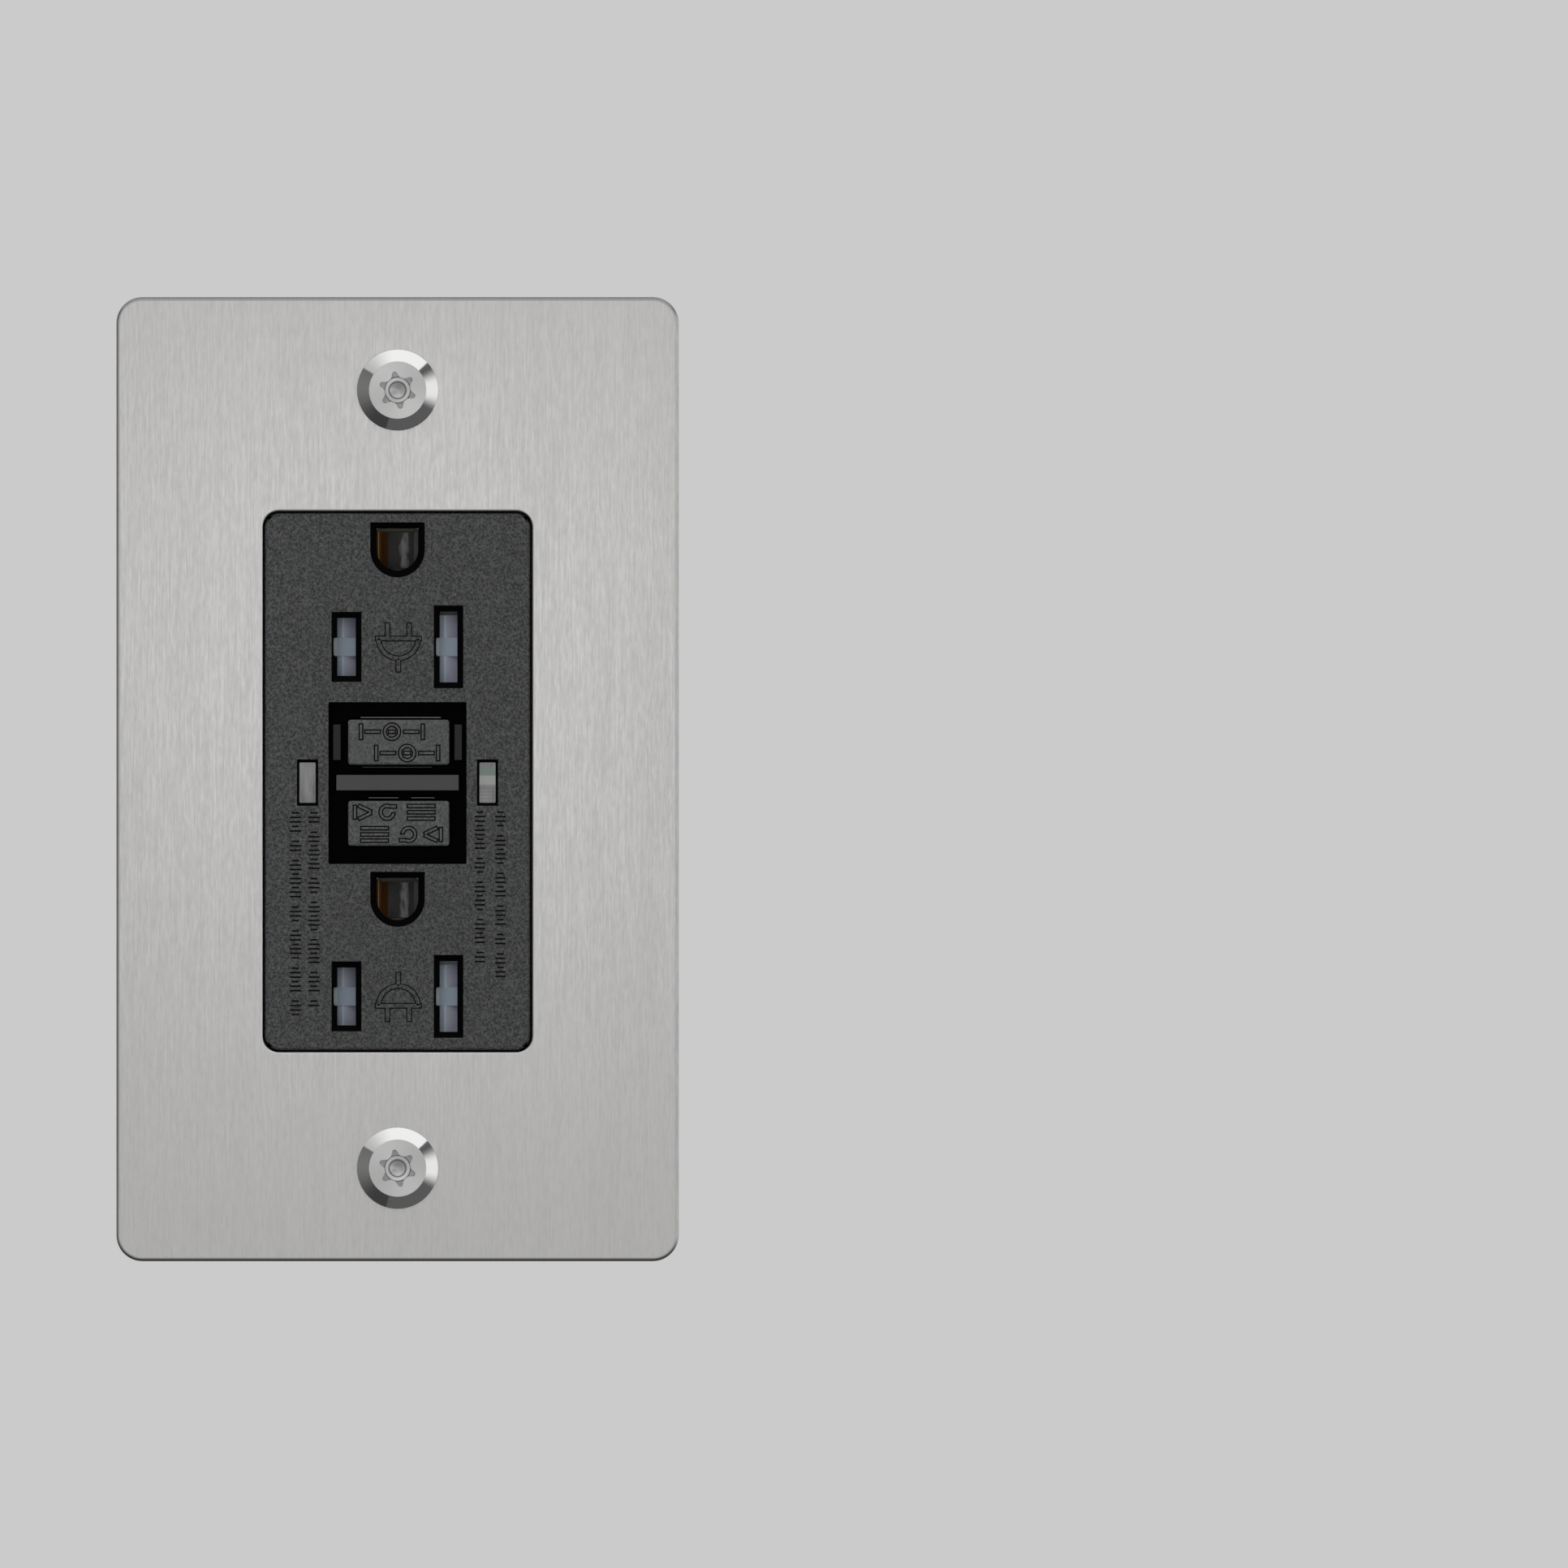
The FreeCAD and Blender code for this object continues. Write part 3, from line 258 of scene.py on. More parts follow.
class Surface(NodeBench):
    """A material under construction: a Principled shader on Object coordinates."""

    def __init__(self, name: str) -> None:
        """Makes the material of this name, with its shader and its coordinates."""
        self.material = bpy.data.materials.new(name)
        self.material.use_nodes = True
        super().__init__(self.material.node_tree)
        self.shader = self.node("ShaderNodeBsdfPrincipled", {}, {})
        self.output = self.node(
            "ShaderNodeOutputMaterial", {}, {"Surface": self.shader.outputs["BSDF"]}
        )
        self.place = self.node("ShaderNodeTexCoord", {}, {}).outputs["Object"]
        parts = self.node("ShaderNodeSeparateXYZ", {}, {0: self.place})
        self.x, self.y, self.z = (Wire(self, parts.outputs[i]) for i in range(3))

    def paint(self, **sockets: Any) -> None:
        """Sets or links the shader's sockets, whose names are given with underscores for spaces."""
        for name, value in sockets.items():
            self.connect(value, self.shader.inputs[name.replace("_", " ")])

    def paint_deep_shade(self, share: Wire) -> None:
        """Mixes in a lightless black by this share, as painted shade on what lies deep in an
        opening.
        """
        black = self.node(
            "ShaderNodeBsdfPrincipled",
            {},
            {
                "Base Color": DEEP_SHADE_COLOUR,
                "Roughness": DEEP_SHADE_ROUGHNESS,
                "Specular IOR Level": DEEP_SHADE_SHINE,
            },
        )
        both = self.node(
            "ShaderNodeMixShader",
            {},
            {0: share, 1: self.shader.outputs["BSDF"], 2: black.outputs["BSDF"]},
        )
        self.connect(both.outputs[0], self.output.inputs["Surface"])

    def stretched(self, scale: Sequence[float], turn: Sequence[float] = (0, 0, 0)) -> Any:
        """The socket of Object coordinates, times a scale for each axis, turned in radians."""
        mapping = self.node(
            "ShaderNodeMapping",
            {"vector_type": "POINT"},
            {"Vector": self.place, "Rotation": tuple(turn), "Scale": tuple(scale)},
        )
        return mapping.outputs[0]

    def noise(self, scale: Cells, detail: float = 2.0, rough: float = 0.5) -> Wire:
        """Noise between 0 and 1.

        Args:
            scale: Cells per metre, one number or one along each of X, Y and Z.
            detail: Octaves.
            rough: How strong the finer octaves are.

        Returns:
            The noise.
        """
        if isinstance(scale, (int, float)):
            scale = (scale, scale, scale)
        made = self.node(
            "ShaderNodeTexNoise",
            {"noise_dimensions": "3D"},
            {"Vector": self.stretched(scale), "Scale": 1.0, "Detail": detail, "Roughness": rough},
        )
        return Wire(self, made.outputs[0])

    def cells(self, scale: float) -> Wire:
        """The distance to the nearest cell centre, in cells."""
        made = self.node(
            "ShaderNodeTexVoronoi",
            {"feature": "F1"},
            {"Vector": self.place, "Scale": scale, "Randomness": 1.0},
        )
        return Wire(self, made.outputs["Distance"])

    def emboss(self, height: Wire, depth: float, strength: float) -> None:
        """Bumps the surface by a height between 0 and 1, this many metres deep."""
        bump = self.node(
            "ShaderNodeBump", {}, {"Height": height, "Distance": depth, "Strength": strength}
        )
        self.paint(Normal=bump.outputs[0])


# ---- Finishes ----


@dataclass(frozen=True)
class Finish:
    """A finish that makes its material once."""

    name: str

    def dress(self, surface: Surface) -> None:
        """Adds the finish's own nodes."""
        raise NotImplementedError

    def material(self) -> Any:
        """The finish's material."""
        found = bpy.data.materials.get(self.name)
        if found:
            return found
        surface = Surface(self.name)
        self.dress(surface)
        return surface.material


@dataclass(frozen=True)
class BrushedPlate(Finish):
    """Sheet steel brushed up and down, with short streaks of uneven length, painted shade along its
    rounded edge and painted shade growing towards the bottom.
    """

    bright: Colour = grey(0.69, 0.010)
    dull: Colour = grey(0.625, 0.012)
    painted_rim_shade: Colour = grey(0.20, 0.010)
    roughness: float = 0.31
    dull_roughness: float = 0.12
    depth: float = 0.01 * MM
    relief: float = 0.75
    half_width: float = 35.0 * MM
    half_height: float = 60.0 * MM
    corner: float = 3.25 * MM
    rim_width: float = 0.55 * MM
    rim_back: float = -6.3 * MM
    side_rim: float = 0.45
    end_rim: float = 0.5
    fine_cells: Triple = (6400, 900, 150)
    short_cells: Triple = (2900, 400, 620)
    broad_cells: Triple = (300, 90, 16)
    shares: Triple = (0.5, 0.4, 0.1)
    streak_range: Pair = (0.34, 0.66)
    painted_bottom_share: float = 0.12

    def dress(self, surface: Surface) -> None:
        """Adds the brushing, the painted shade along the edge and the painted shade towards the
        bottom.
        """
        fine = surface.noise(self.fine_cells, 3.0, 0.6)
        short = surface.noise(self.short_cells, 2.0, 0.55)
        broad = surface.noise(self.broad_cells, 1.0)
        brushed = fine * self.shares[0] + short * self.shares[1] + broad * self.shares[2]
        streak = brushed.ramp(*self.streak_range)
        # Painted shade: a dark line along the rounded edge of the front, stronger at the top and
        # bottom ends.
        across = abs(surface.x) - (self.half_width - self.corner)
        along = abs(surface.z) - (self.half_height - self.corner)
        across = across * across.above(0.0)
        along = along * along.above(0.0)
        out = (across * across + along * along).root() - self.corner
        share = self.side_rim + self.end_rim * (along / self.corner).clamp()
        painted_rim_shade = out.ramp(-self.rim_width, -0.3 * self.rim_width) * share
        painted_rim_shade = painted_rim_shade * surface.y.below(self.rim_back)
        # Painted shade: the plate grows darker towards its bottom.
        painted_bottom_shade = (self.half_height - surface.z).ramp(0.0, 2 * self.half_height)
        painted_bottom_shade = painted_bottom_shade * self.painted_bottom_share
        surface.paint(
            Base_Color=surface.layers(
                self.dull, (streak, self.bright), (painted_bottom_shade, self.painted_rim_shade), (painted_rim_shade, self.painted_rim_shade)
            ),
            Metallic=1.0,
            Roughness=self.roughness + (1 - streak) * self.dull_roughness,
        )
        surface.emboss(streak, self.depth, self.relief)


@dataclass(frozen=True)
class TurnedSteel(Finish):
    """Polished steel turned on a lathe: fine rings on each head's flat with a painted reflection
    sweeping round it, a painted highlight in the middle, painted shade in the recess, and a mirror
    on its cone.
    """

    head_z: float = 48.42 * MM
    flat_radius: float = 3.58 * MM
    flat_front: float = -8.37 * MM
    recess_radius: float = 1.60 * MM
    recess_line: Pair = (0.02 * MM, 0.10 * MM)
    pilot_radius: float = 1.05 * MM
    pilot_line: Pair = (0.03 * MM, 0.16 * MM)
    painted_highlight_radius: float = 0.5 * MM
    ring_rate: float = 42000.0
    grain_cells: float = 4200
    wear_cells: float = 900
    painted_reflection_turn: float = 2.6
    colour: Colour = grey(0.72, 0.004)
    flat_colour: Colour = grey(0.50, 0.006)
    shaded: Colour = grey(0.30, 0.0)
    painted_line_shade: Colour = grey(0.06)
    roughness: float = 0.06
    flat_roughness: float = 0.22
    depth: float = 0.02 * MM

    def dress(self, surface: Surface) -> None:
        """Adds the turning rings, a painted reflection round each flat, a painted highlight in the
        middle, the rough lobes in painted shade, and dark lines of painted shade at the recess edge
        and the pilot step.
        """
        up = abs(surface.z) - self.head_z
        radius = (surface.x * surface.x + up * up).root()
        flat = radius.below(self.flat_radius) * surface.y.below(self.flat_front)
        cone = radius.above(self.flat_radius)
        recess = (1 - flat) * (1 - cone)
        lobe = recess * radius.above(self.recess_radius)
        # Painted shade: dark lines at the recess edge and at the pilot step.
        painted_rim_shade = radius.band(self.recess_radius, *self.recess_line)
        step = radius.band(self.pilot_radius, *self.pilot_line)
        dark = ((painted_rim_shade * 0.8 + step * 0.75) * recess).clamp()
        rings = (radius * self.ring_rate).wave()
        grain = surface.noise(self.grain_cells, 3.0, 0.65)
        wear = surface.noise(self.wear_cells, 2.0)
        # Painted reflection: the flat lighter and darker by turns round each head.
        bearing = surface.x.angle(surface.z - self.head_z * (surface.z.above(0.0) * 2 - 1))
        sweep = (bearing * 2.0 + self.painted_reflection_turn).wave()
        # Painted highlight in the middle of the pilot.
        centre = 1 - radius.ramp(0.0, self.painted_highlight_radius)
        # The flat's tone: real turning rings and grain, with the painted reflection and highlight.
        bright = (rings * 0.15 + grain * 0.35 + sweep * 0.45 + centre).clamp()
        # Painted shade in the lobes, varied by the grain.
        shade = lobe * (0.35 + grain * 0.9).clamp()
        rough = (1 - cone) * (self.flat_roughness + grain * 0.16)
        surface.paint(
            Base_Color=surface.layers(
                self.flat_colour,
                (bright, self.colour),
                (cone, self.colour),
                (shade, self.shaded),
                (dark, self.painted_line_shade),
            ),
            Metallic=1.0,
            Roughness=self.roughness + cone * wear * 0.05 + rough,
        )
        height = (rings * 0.35 + grain * 0.65) * (1 - cone)
        surface.emboss(height + lobe * grain * 2.0, self.depth, 0.6)


@dataclass(frozen=True)
class GrainedPlastic(Finish):
    """Moulded plastic with a fine leathery grain on its front and painted shade, a lightless black,
    on the edges and walls deeper in its openings.
    """

    colour: Colour = grey(0.012, -0.02)
    speck: Colour = grey(0.094, -0.02)
    front: float = FACE_FRONT * MM
    edge_room: float = 0.06 * MM
    middle: float = -0.3 * MM
    half_width: float = 16.1 * MM
    half_height: float = 33.0 * MM
    cell: float = 4600.0
    grain_range: Pair = (0.3, 0.68)
    roughness: float = 0.5
    depth: float = 0.09 * MM

    def dress(self, surface: Surface) -> None:
        """Adds the grain and paints shade, a lightless black, on what lies deeper than the front.
        """
        height = abs(surface.z - self.middle)
        inside = abs(surface.x).below(self.half_width) * height.below(self.half_height)
        # Painted shade: what lies deeper than the front inside the opening turns to a lightless
        # black.
        deep = (surface.y - self.front).ramp(self.edge_room * 0.3, self.edge_room) * inside
        pebble = surface.noise((self.cell, self.cell, self.cell * 0.8), 3.0, 0.7)
        pore = surface.cells(self.cell * 0.5)
        grain = (pebble * 0.8 + pore * 0.2).ramp(*self.grain_range)
        surface.paint(
            Base_Color=surface.mix(grain, self.colour, self.speck),
            Roughness=self.roughness + grain * 0.14,
            Specular_IOR_Level=0.4,
        )
        surface.emboss(grain, self.depth, 0.9)
        surface.paint_deep_shade(deep)


@dataclass(frozen=True)
class BezelPlastic(Finish):
    """Smooth plastic round the buttons: a plain bar, painted shade on the posts and all else just
    deeper than the bar, and painted shade in a lightless black behind them.
    """

    colour: Colour = grey(0.052, -0.02)
    painted_depth_shade: Colour = grey(0.006)
    bar_front: float = -5.95 * MM
    deep_front: float = -5.62 * MM
    step: float = 0.1 * MM
    cloud_cells: Triple = (700, 700, 300)
    roughness: float = 0.4
    depth: float = 0.006 * MM

    def dress(self, surface: Surface) -> None:
        """Adds the three depths: the bar's own colour, painted shade just behind it and a lightless
        black of painted shade deeper still.
        """
        cloud = surface.noise(self.cloud_cells, 3.0)
        # Painted shade: what lies deeper than the bar's front is painted darker.
        lower = (surface.y - self.bar_front).ramp(0.0, self.step)
        surface.paint(
            Base_Color=surface.mix(lower, self.colour, self.painted_depth_shade),
            Roughness=self.roughness + cloud * 0.1,
            Specular_IOR_Level=0.35,
        )
        surface.emboss(cloud, self.depth, 0.5)
        # Painted shade: a lightless black deeper than deep_front.
        surface.paint_deep_shade((surface.y - self.deep_front).ramp(0.0, self.step))


@dataclass(frozen=True)
class WellBrass(Finish):
    """The ground contact down its well: brass in painted shade at one side, painted dark grey shade
    elsewhere, with a painted highlight streak and a painted glint.
    """

    brown: Colour = (0.095, 0.034, 0.007)
    light_brown: Colour = (0.15, 0.055, 0.01)
    dull: Colour = grey(0.11)
    painted_streak_highlight: Colour = grey(0.60)
    bright: Colour = (0.60, 0.46, 0.24)
    well_back: float = -0.1 * MM
    well_half: float = 2.7 * MM
    smear_cells: Triple = (1500, 500, 500)
    wander: float = 1.2 * MM
    streak: Triple = (0.9 * MM, 0.15 * MM, 0.65 * MM)
    painted_brass_shade_edge: float = -1.2 * MM
    glint: Triple = (-2.35 * MM, 0.02 * MM, 0.09 * MM)
    roughness: float = 0.34
    depth: float = 0.03 * MM

    def dress(self, surface: Surface) -> None:
        """Adds the shaded brass side, the highlight streak and the glint, all painted, and plain
        brass outside the well.
        """
        across = surface.x
        smear = surface.noise(self.smear_cells, 3.0, 0.6)
        # Painted highlight: a wandering vertical streak.
        streak = (across + (smear - 0.5) * self.wander).band(*self.streak)
        # Painted shade: the brass side of the well left dark brown.
        painted_brass_shade = 1 - (across - self.painted_brass_shade_edge).ramp(-0.04 * MM, 0.1 * MM)
        # Inside the well: dark grey painted shade, with the streak, the shaded brass side and a
        # painted glint.
        inside = surface.layers(
            self.dull,
            (streak * smear.ramp(0.25, 0.6), self.painted_streak_highlight),
            (painted_brass_shade, surface.mix(smear, self.brown, self.light_brown)),
            (across.band(*self.glint) * smear, self.bright),
        )
        in_well = abs(across).below(self.well_half) * surface.y.above(self.well_back)
        surface.paint(
            Base_Color=surface.mix(in_well, self.bright, inside),
            Metallic=0.6,
            Roughness=self.roughness + smear * 0.2,
            Specular_IOR_Level=0.2,
        )
        surface.emboss(smear, self.depth, 0.6)


@dataclass(frozen=True)
class MouldedPlastic(Finish):
    """Plain moulded plastic with a faint mottle and a fine satin texture."""

    colour: Colour
    roughness: float = 0.45
    mottle: float = 0.12
    depth: float = 0.008 * MM
    cell: float = 1500.0
    cloud_cells: float = 70

    def dress(self, surface: Surface) -> None:
        """Adds the mottle and the texture."""
        cloud = surface.noise(self.cloud_cells, 3.0)
        fine = surface.noise(self.cell, 3.0, 0.6)
        darker = tuple(c * (1 - self.mottle) for c in self.colour)
        lighter = tuple(min(1.0, c * (1 + self.mottle)) for c in self.colour)
        surface.paint(
            Base_Color=surface.mix(cloud.ramp(0.3, 0.7), darker, lighter),
            Roughness=self.roughness + fine * 0.12 - 0.06,
        )
        surface.emboss(fine, self.depth, 0.7)


@dataclass(frozen=True)
class ShutterPlastic(Finish):
    """Milky plastic of the sliding shutters, with a painted highlight along each ramp's crest and
    painted light and shade on either side of it.
    """

    painted_lit_side: Colour = (0.35, 0.41, 0.48)
    painted_shaded_side: Colour = (0.36, 0.37, 0.45)
    painted_crest_highlight: Colour = (0.56, 0.63, 0.70)
    block: Colour = (0.25, 0.315, 0.385)
    painted_block_highlight: Colour = (0.44, 0.49, 0.53)
    painted_step_shade: Colour = (0.045, 0.052, 0.048)
    shade: Colour = grey(0.02)
    left_shade: float = 0.16
    slot_x: float = 6.35 * MM
    crest: float = -0.42 * MM
    crest_line: Pair = (0.03 * MM, 0.13 * MM)
    edge_x: float = -1.2 * MM
    soft_edge: float = 0.1 * MM
    block_z: Pair = (16.46 * MM, -27.04 * MM)
    block_half: float = 1.15 * MM
    step_rise: float = 3.94 * MM
    step_front: float = -4.5 * MM
    cloud_cells: Triple = (300, 300, 120)
    roughness: float = 0.32
    depth: float = 0.01 * MM

    def dress(self, surface: Surface) -> None:
        """Adds painted light and shade on the two sides of each crest, the painted highlight along
        the crest, the plain block between ramps with a painted highlight on its left edge, painted
        shade over the left half and painted shade on the step at the top of the upper right slot.
        """
        across = (abs(surface.x) - self.slot_x) * (surface.x.above(0.0) * 2 - 1)
        # Painted light and shade: lighter left of the crest, darker right of it.
        right = (across - self.crest).ramp(-self.soft_edge, self.soft_edge)
        # Painted highlight along the crest.
        crest = across.band(self.crest, *self.crest_line)
        high, low = (abs(surface.z - z).below(self.block_half) for z in self.block_z)
        cloud = surface.noise(self.cloud_cells, 2.0)
        # Painted highlight along the block's left edge.
        edge = (across - self.edge_x).ramp(-self.soft_edge, self.soft_edge)
        block = surface.mix(edge, self.painted_block_highlight, self.block)
        # Painted shade on the step at the top of the upper right slot.
        step = (surface.z - self.block_z[0]).above(self.step_rise) * surface.x.above(0.0)
        step = step * surface.y.above(self.step_front)
        surface.paint(
            Base_Color=surface.layers(
                self.painted_lit_side,
                (right, self.painted_shaded_side),
                (crest * 0.5, self.painted_crest_highlight),
                ((high + low).clamp(), block),
                # Painted shade over the left half.
                (surface.x.below(0.0) * self.left_shade, self.shade),
                (step, self.painted_step_shade),
            ),
            Roughness=self.roughness + cloud * 0.12,
            Subsurface_Weight=0.25,
            Subsurface_Scale=0.6 * MM,
            Coat_Weight=0.15,
            Coat_Roughness=0.2,
        )
        surface.emboss(cloud, self.depth, 0.3)


class LensKind(Enum):
    """The two light windows."""

    CLOUDY = "cloudy"
    CLEAR = "clear"


@dataclass(frozen=True)
class WindowLens(Finish):
    """A light pipe's window: cloudy, or clear with the lamp's parts showing through in bands."""

    kind: LensKind
    middle: float = -0.43 * MM
    dark: Colour = grey(0.09)
    pale: Colour = grey(0.19)
    milky: Colour = grey(0.28)
    banded: Colour = grey(0.12)
    chip_colour: Colour = (0.42, 0.44, 0.40)
    green: Colour = (0.10, 0.22, 0.16)
    fine_cells: Triple = (2600, 300, 240)
    cloud_cells: Triple = (420, 200, 160)
    band_cells: Triple = (100, 100, 900)
    band_rate: float = 15000.0
    chip: Triple = (0.3 * MM, 0.4 * MM, 0.8 * MM)
    green_foot: Pair = (0.8 * MM, 1.2 * MM)
    green_head: Pair = (1.6 * MM, 2.1 * MM)
    roughness: float = 0.25
    depth: float = 0.012 * MM

    def dress(self, surface: Surface) -> None:
        """Adds the bands or the cloud."""
        fine = surface.noise(self.fine_cells, 2.0)
        cloud = surface.noise(self.cloud_cells, 2.0)
        coats = [(fine.ramp(0.3, 0.7) * 0.7, self.pale), (cloud.ramp(0.4, 0.7) * 0.5, self.milky)]
        if self.kind is LensKind.CLEAR:
            bands = (surface.z * self.band_rate).wave() * surface.noise(self.band_cells, 2.0)
            height = surface.z - self.middle
            above = height.ramp(*self.green_foot) * (1 - height.ramp(*self.green_head))
            coats.append((bands.ramp(0.1, 0.6) * 0.6, self.banded))
            coats.append((height.band(*self.chip) * 0.45, self.chip_colour))
            coats.append((above * 0.4, self.green))
        surface.paint(
            Base_Color=surface.layers(self.dark, *coats),
            Roughness=self.roughness + cloud * 0.15,
            Coat_Weight=0.35,
            Coat_Roughness=0.08,
            Subsurface_Weight=0.12,
            Subsurface_Scale=0.5 * MM,
        )
        surface.emboss(fine, self.depth, 0.35)


@dataclass(frozen=True)
class Metal(Finish):
    """Stamped or drawn metal with rolling marks and a little tarnish."""

    colour: Colour
    tarnish: Colour
    roughness: float = 0.28
    rolled_cells: Cells = (900, 900, 160)
    patch_cells: float = 160
    depth: float = 0.008 * MM
    tarnished: float = 0.35

    def dress(self, surface: Surface) -> None:
        """Adds the rolling marks and the tarnish."""
        rolled = surface.noise(self.rolled_cells, 3.0, 0.6)
        patch = surface.noise(self.patch_cells, 4.0, 0.6).ramp(0.35, 0.75)
        surface.paint(
            Base_Color=surface.mix(patch * self.tarnished, self.colour, self.tarnish),
            Metallic=1.0,
            Roughness=self.roughness + patch * 0.14 + rolled * 0.1 - 0.05,
        )
        surface.emboss(rolled, self.depth, 0.6)


@dataclass(frozen=True)
class Speckled(Finish):
    """One colour with specks, patches or threads of another, from a single noise."""

    colour: Colour
    speck: Colour
    cells: Cells
    noise: Pair = (2.0, 0.5)
    speck_range: Optional[Pair] = None
    share: float = 1.0
    roughness: Pair = (0.65, 0.2)
    metallic: float = 0.0
    shine: float = 0.5
    depth: float = 0.01 * MM
    relief: float = 0.5

    def dress(self, surface: Surface) -> None:
        """Adds the specks."""
        speck = surface.noise(self.cells, *self.noise)
        if self.speck_range:
            speck = speck.ramp(*self.speck_range)
        surface.paint(
            Base_Color=surface.mix(speck * self.share, self.colour, self.speck),
            Metallic=self.metallic,
            Roughness=self.roughness[0] + speck * self.roughness[1],
            Specular_IOR_Level=self.shine,
        )
        surface.emboss(speck, self.depth, self.relief)


@dataclass(frozen=True)
class WoundWire(Finish):
    """Enamelled wire in tight turns, one ridge a turn, with painted shade between the turns."""

    colour: Colour = (0.55, 0.21, 0.085)
    dark: Colour = (0.16, 0.05, 0.02)
    pitch: float = 0.22 * MM
    uneven_cells: float = 300
    roughness: float = 0.25
    depth: float = 0.06 * MM

    def dress(self, surface: Surface) -> None:
        """Adds a ridge for each turn, with painted shade between the ridges."""
        turn = (surface.z * (2 * math.pi / self.pitch)).wave()
        uneven = surface.noise(self.uneven_cells, 2.0)
        surface.paint(
            # Painted shade: darker between the turns.
            Base_Color=surface.mix(turn.ramp(0.05, 0.6), self.dark, self.colour),
            Metallic=0.75,
            Roughness=self.roughness + uneven * 0.18,
            Coat_Weight=0.4,
            Coat_Roughness=0.12,
        )
        surface.emboss(turn * 0.8 + uneven * 0.2, self.depth, 0.8)


@dataclass(frozen=True)
class SolderMask(Finish):
    """A circuit board's green mask with copper tracks under it."""

    colour: Colour = (0.012, 0.13, 0.05)
    track: Colour = (0.03, 0.25, 0.10)
    track_cells: Triple = (520, 520, 520)
    cloud_cells: float = 220
    roughness: float = 0.25
    depth: float = 0.03 * MM

    def dress(self, surface: Surface) -> None:
        """Adds the tracks."""
        brick = surface.node(
            "ShaderNodeTexBrick",
            {"offset": 0.37, "squash": 1.6, "squash_frequency": 3},
            {
                "Vector": surface.stretched(self.track_cells, (math.pi / 2, 0, 0)),
                "Color1": (0, 0, 0, 1),
                "Color2": (0.35, 0.35, 0.35, 1),
                "Mortar": (1, 1, 1, 1),
                "Scale": 1.0,
                "Mortar Size": 0.09,
            },
        )
        tracks = Wire(surface, brick.outputs["Fac"])
        cloud = surface.noise(self.cloud_cells, 3.0)
        surface.paint(
            Base_Color=surface.mix(tracks * 0.8 + cloud * 0.1, self.colour, self.track),
            Roughness=self.roughness + cloud * 0.12,
            Coat_Weight=0.5,
            Coat_Roughness=0.1,
        )
        surface.emboss(tracks, self.depth, 0.5)


FACE = GrainedPlastic("face_grain")
BUTTON = GrainedPlastic(
    "button_grain",
    colour=grey(0.044, -0.02),
    speck=grey(0.118, -0.02),
    front=TEST_FRONT * MM,
    edge_room=0.9 * MM,
)
# A near black: painted shadow round the raised signs, and the print of the index ticks.
SHADOW_AND_PRINT_BLACK = Speckled("shadow_and_print_black", grey(0.0015), grey(0.004), 2600, shine=0.06)
SPRING = Metal("spring_wire", grey(0.58), grey(0.36), 0.24, 1800)
WELL = WellBrass("ground_well_brass")

FINISHES: dict[str, Finish] = {
    "brushed_plate": BrushedPlate("brushed_plate_steel"),
    "polished_steel": TurnedSteel("turned_screw_steel"),
    "zinc_steel": Metal("zinc_plate", (0.60, 0.62, 0.64), (0.42, 0.42, 0.40), 0.34),
    "frame_plastic": MouldedPlastic("backing_black", grey(0.018), 0.5),
    "face_plastic": FACE,
    "button_plastic": BUTTON,
    "shutter_plastic": ShutterPlastic("shutter_milk"),
    "guide_plastic": BezelPlastic("guide_charcoal"),
    "grey_lens": WindowLens("cloudy_window", LensKind.CLOUDY),
    "clear_lens": WindowLens("clear_window", LensKind.CLEAR),
    "brass": Metal("stamped_brass", (0.76, 0.55, 0.24), (0.42, 0.25, 0.09), 0.26),
    "silver_contact": Metal("nickel_brass", (0.68, 0.66, 0.60), (0.46, 0.43, 0.36), 0.28),
    "ground_green": Speckled(
        "ground_screw_green", (0.035, 0.30, 0.09), grey(0.5, 0.02), 900, (4.0, 0.65),
        (0.62, 0.8), share=0.5, roughness=(0.3, 0.15), metallic=0.85, depth=0.006 * MM, relief=0.4,
    ),
    "spring_steel": SPRING,
    "frame_insulator": MouldedPlastic("insulator_cream", (0.62, 0.57, 0.47), 0.42),
    "latch_plastic": MouldedPlastic("latch_rust", (0.42, 0.10, 0.03), 0.4),
    "bobbin_plastic": MouldedPlastic("bobbin_ivory", (0.66, 0.63, 0.54), 0.4),
    "copper_winding": WoundWire("coil_copper"),
    "iron": Metal("plain_iron", grey(0.42, 0.01), grey(0.20, 0.06), 0.36),
    "ferrite": MouldedPlastic("ring_ferrite", grey(0.022), 0.62, 0.3),
    "board_green": SolderMask("board_mask"),
    "lamp_lens": MouldedPlastic("lamp_resin", (0.62, 0.68, 0.52), 0.15, 0.06),
    "varistor_blue": MouldedPlastic(
        "dipped_blue", (0.025, 0.09, 0.34), 0.22, 0.15, depth=0.03 * MM, cell=600.0
    ),
    "component_black": MouldedPlastic("moulded_epoxy", grey(0.014), 0.5, 0.2),
    "housing_plastic": MouldedPlastic("housing_grey", (0.58, 0.58, 0.555), 0.46, 0.06),
    "fibre": Speckled(
        "pressed_fibre", (0.36, 0.24, 0.13), (0.55, 0.42, 0.27), (2400, 600, 900), (4.0, 0.7),
        (0.45, 0.7), roughness=(0.85, -0.15), depth=0.03 * MM, relief=0.7,
    ),
}
NODE_FINISHES: dict[str, Finish] = {"upper_ground_contact": WELL, "lower_ground_contact": WELL}


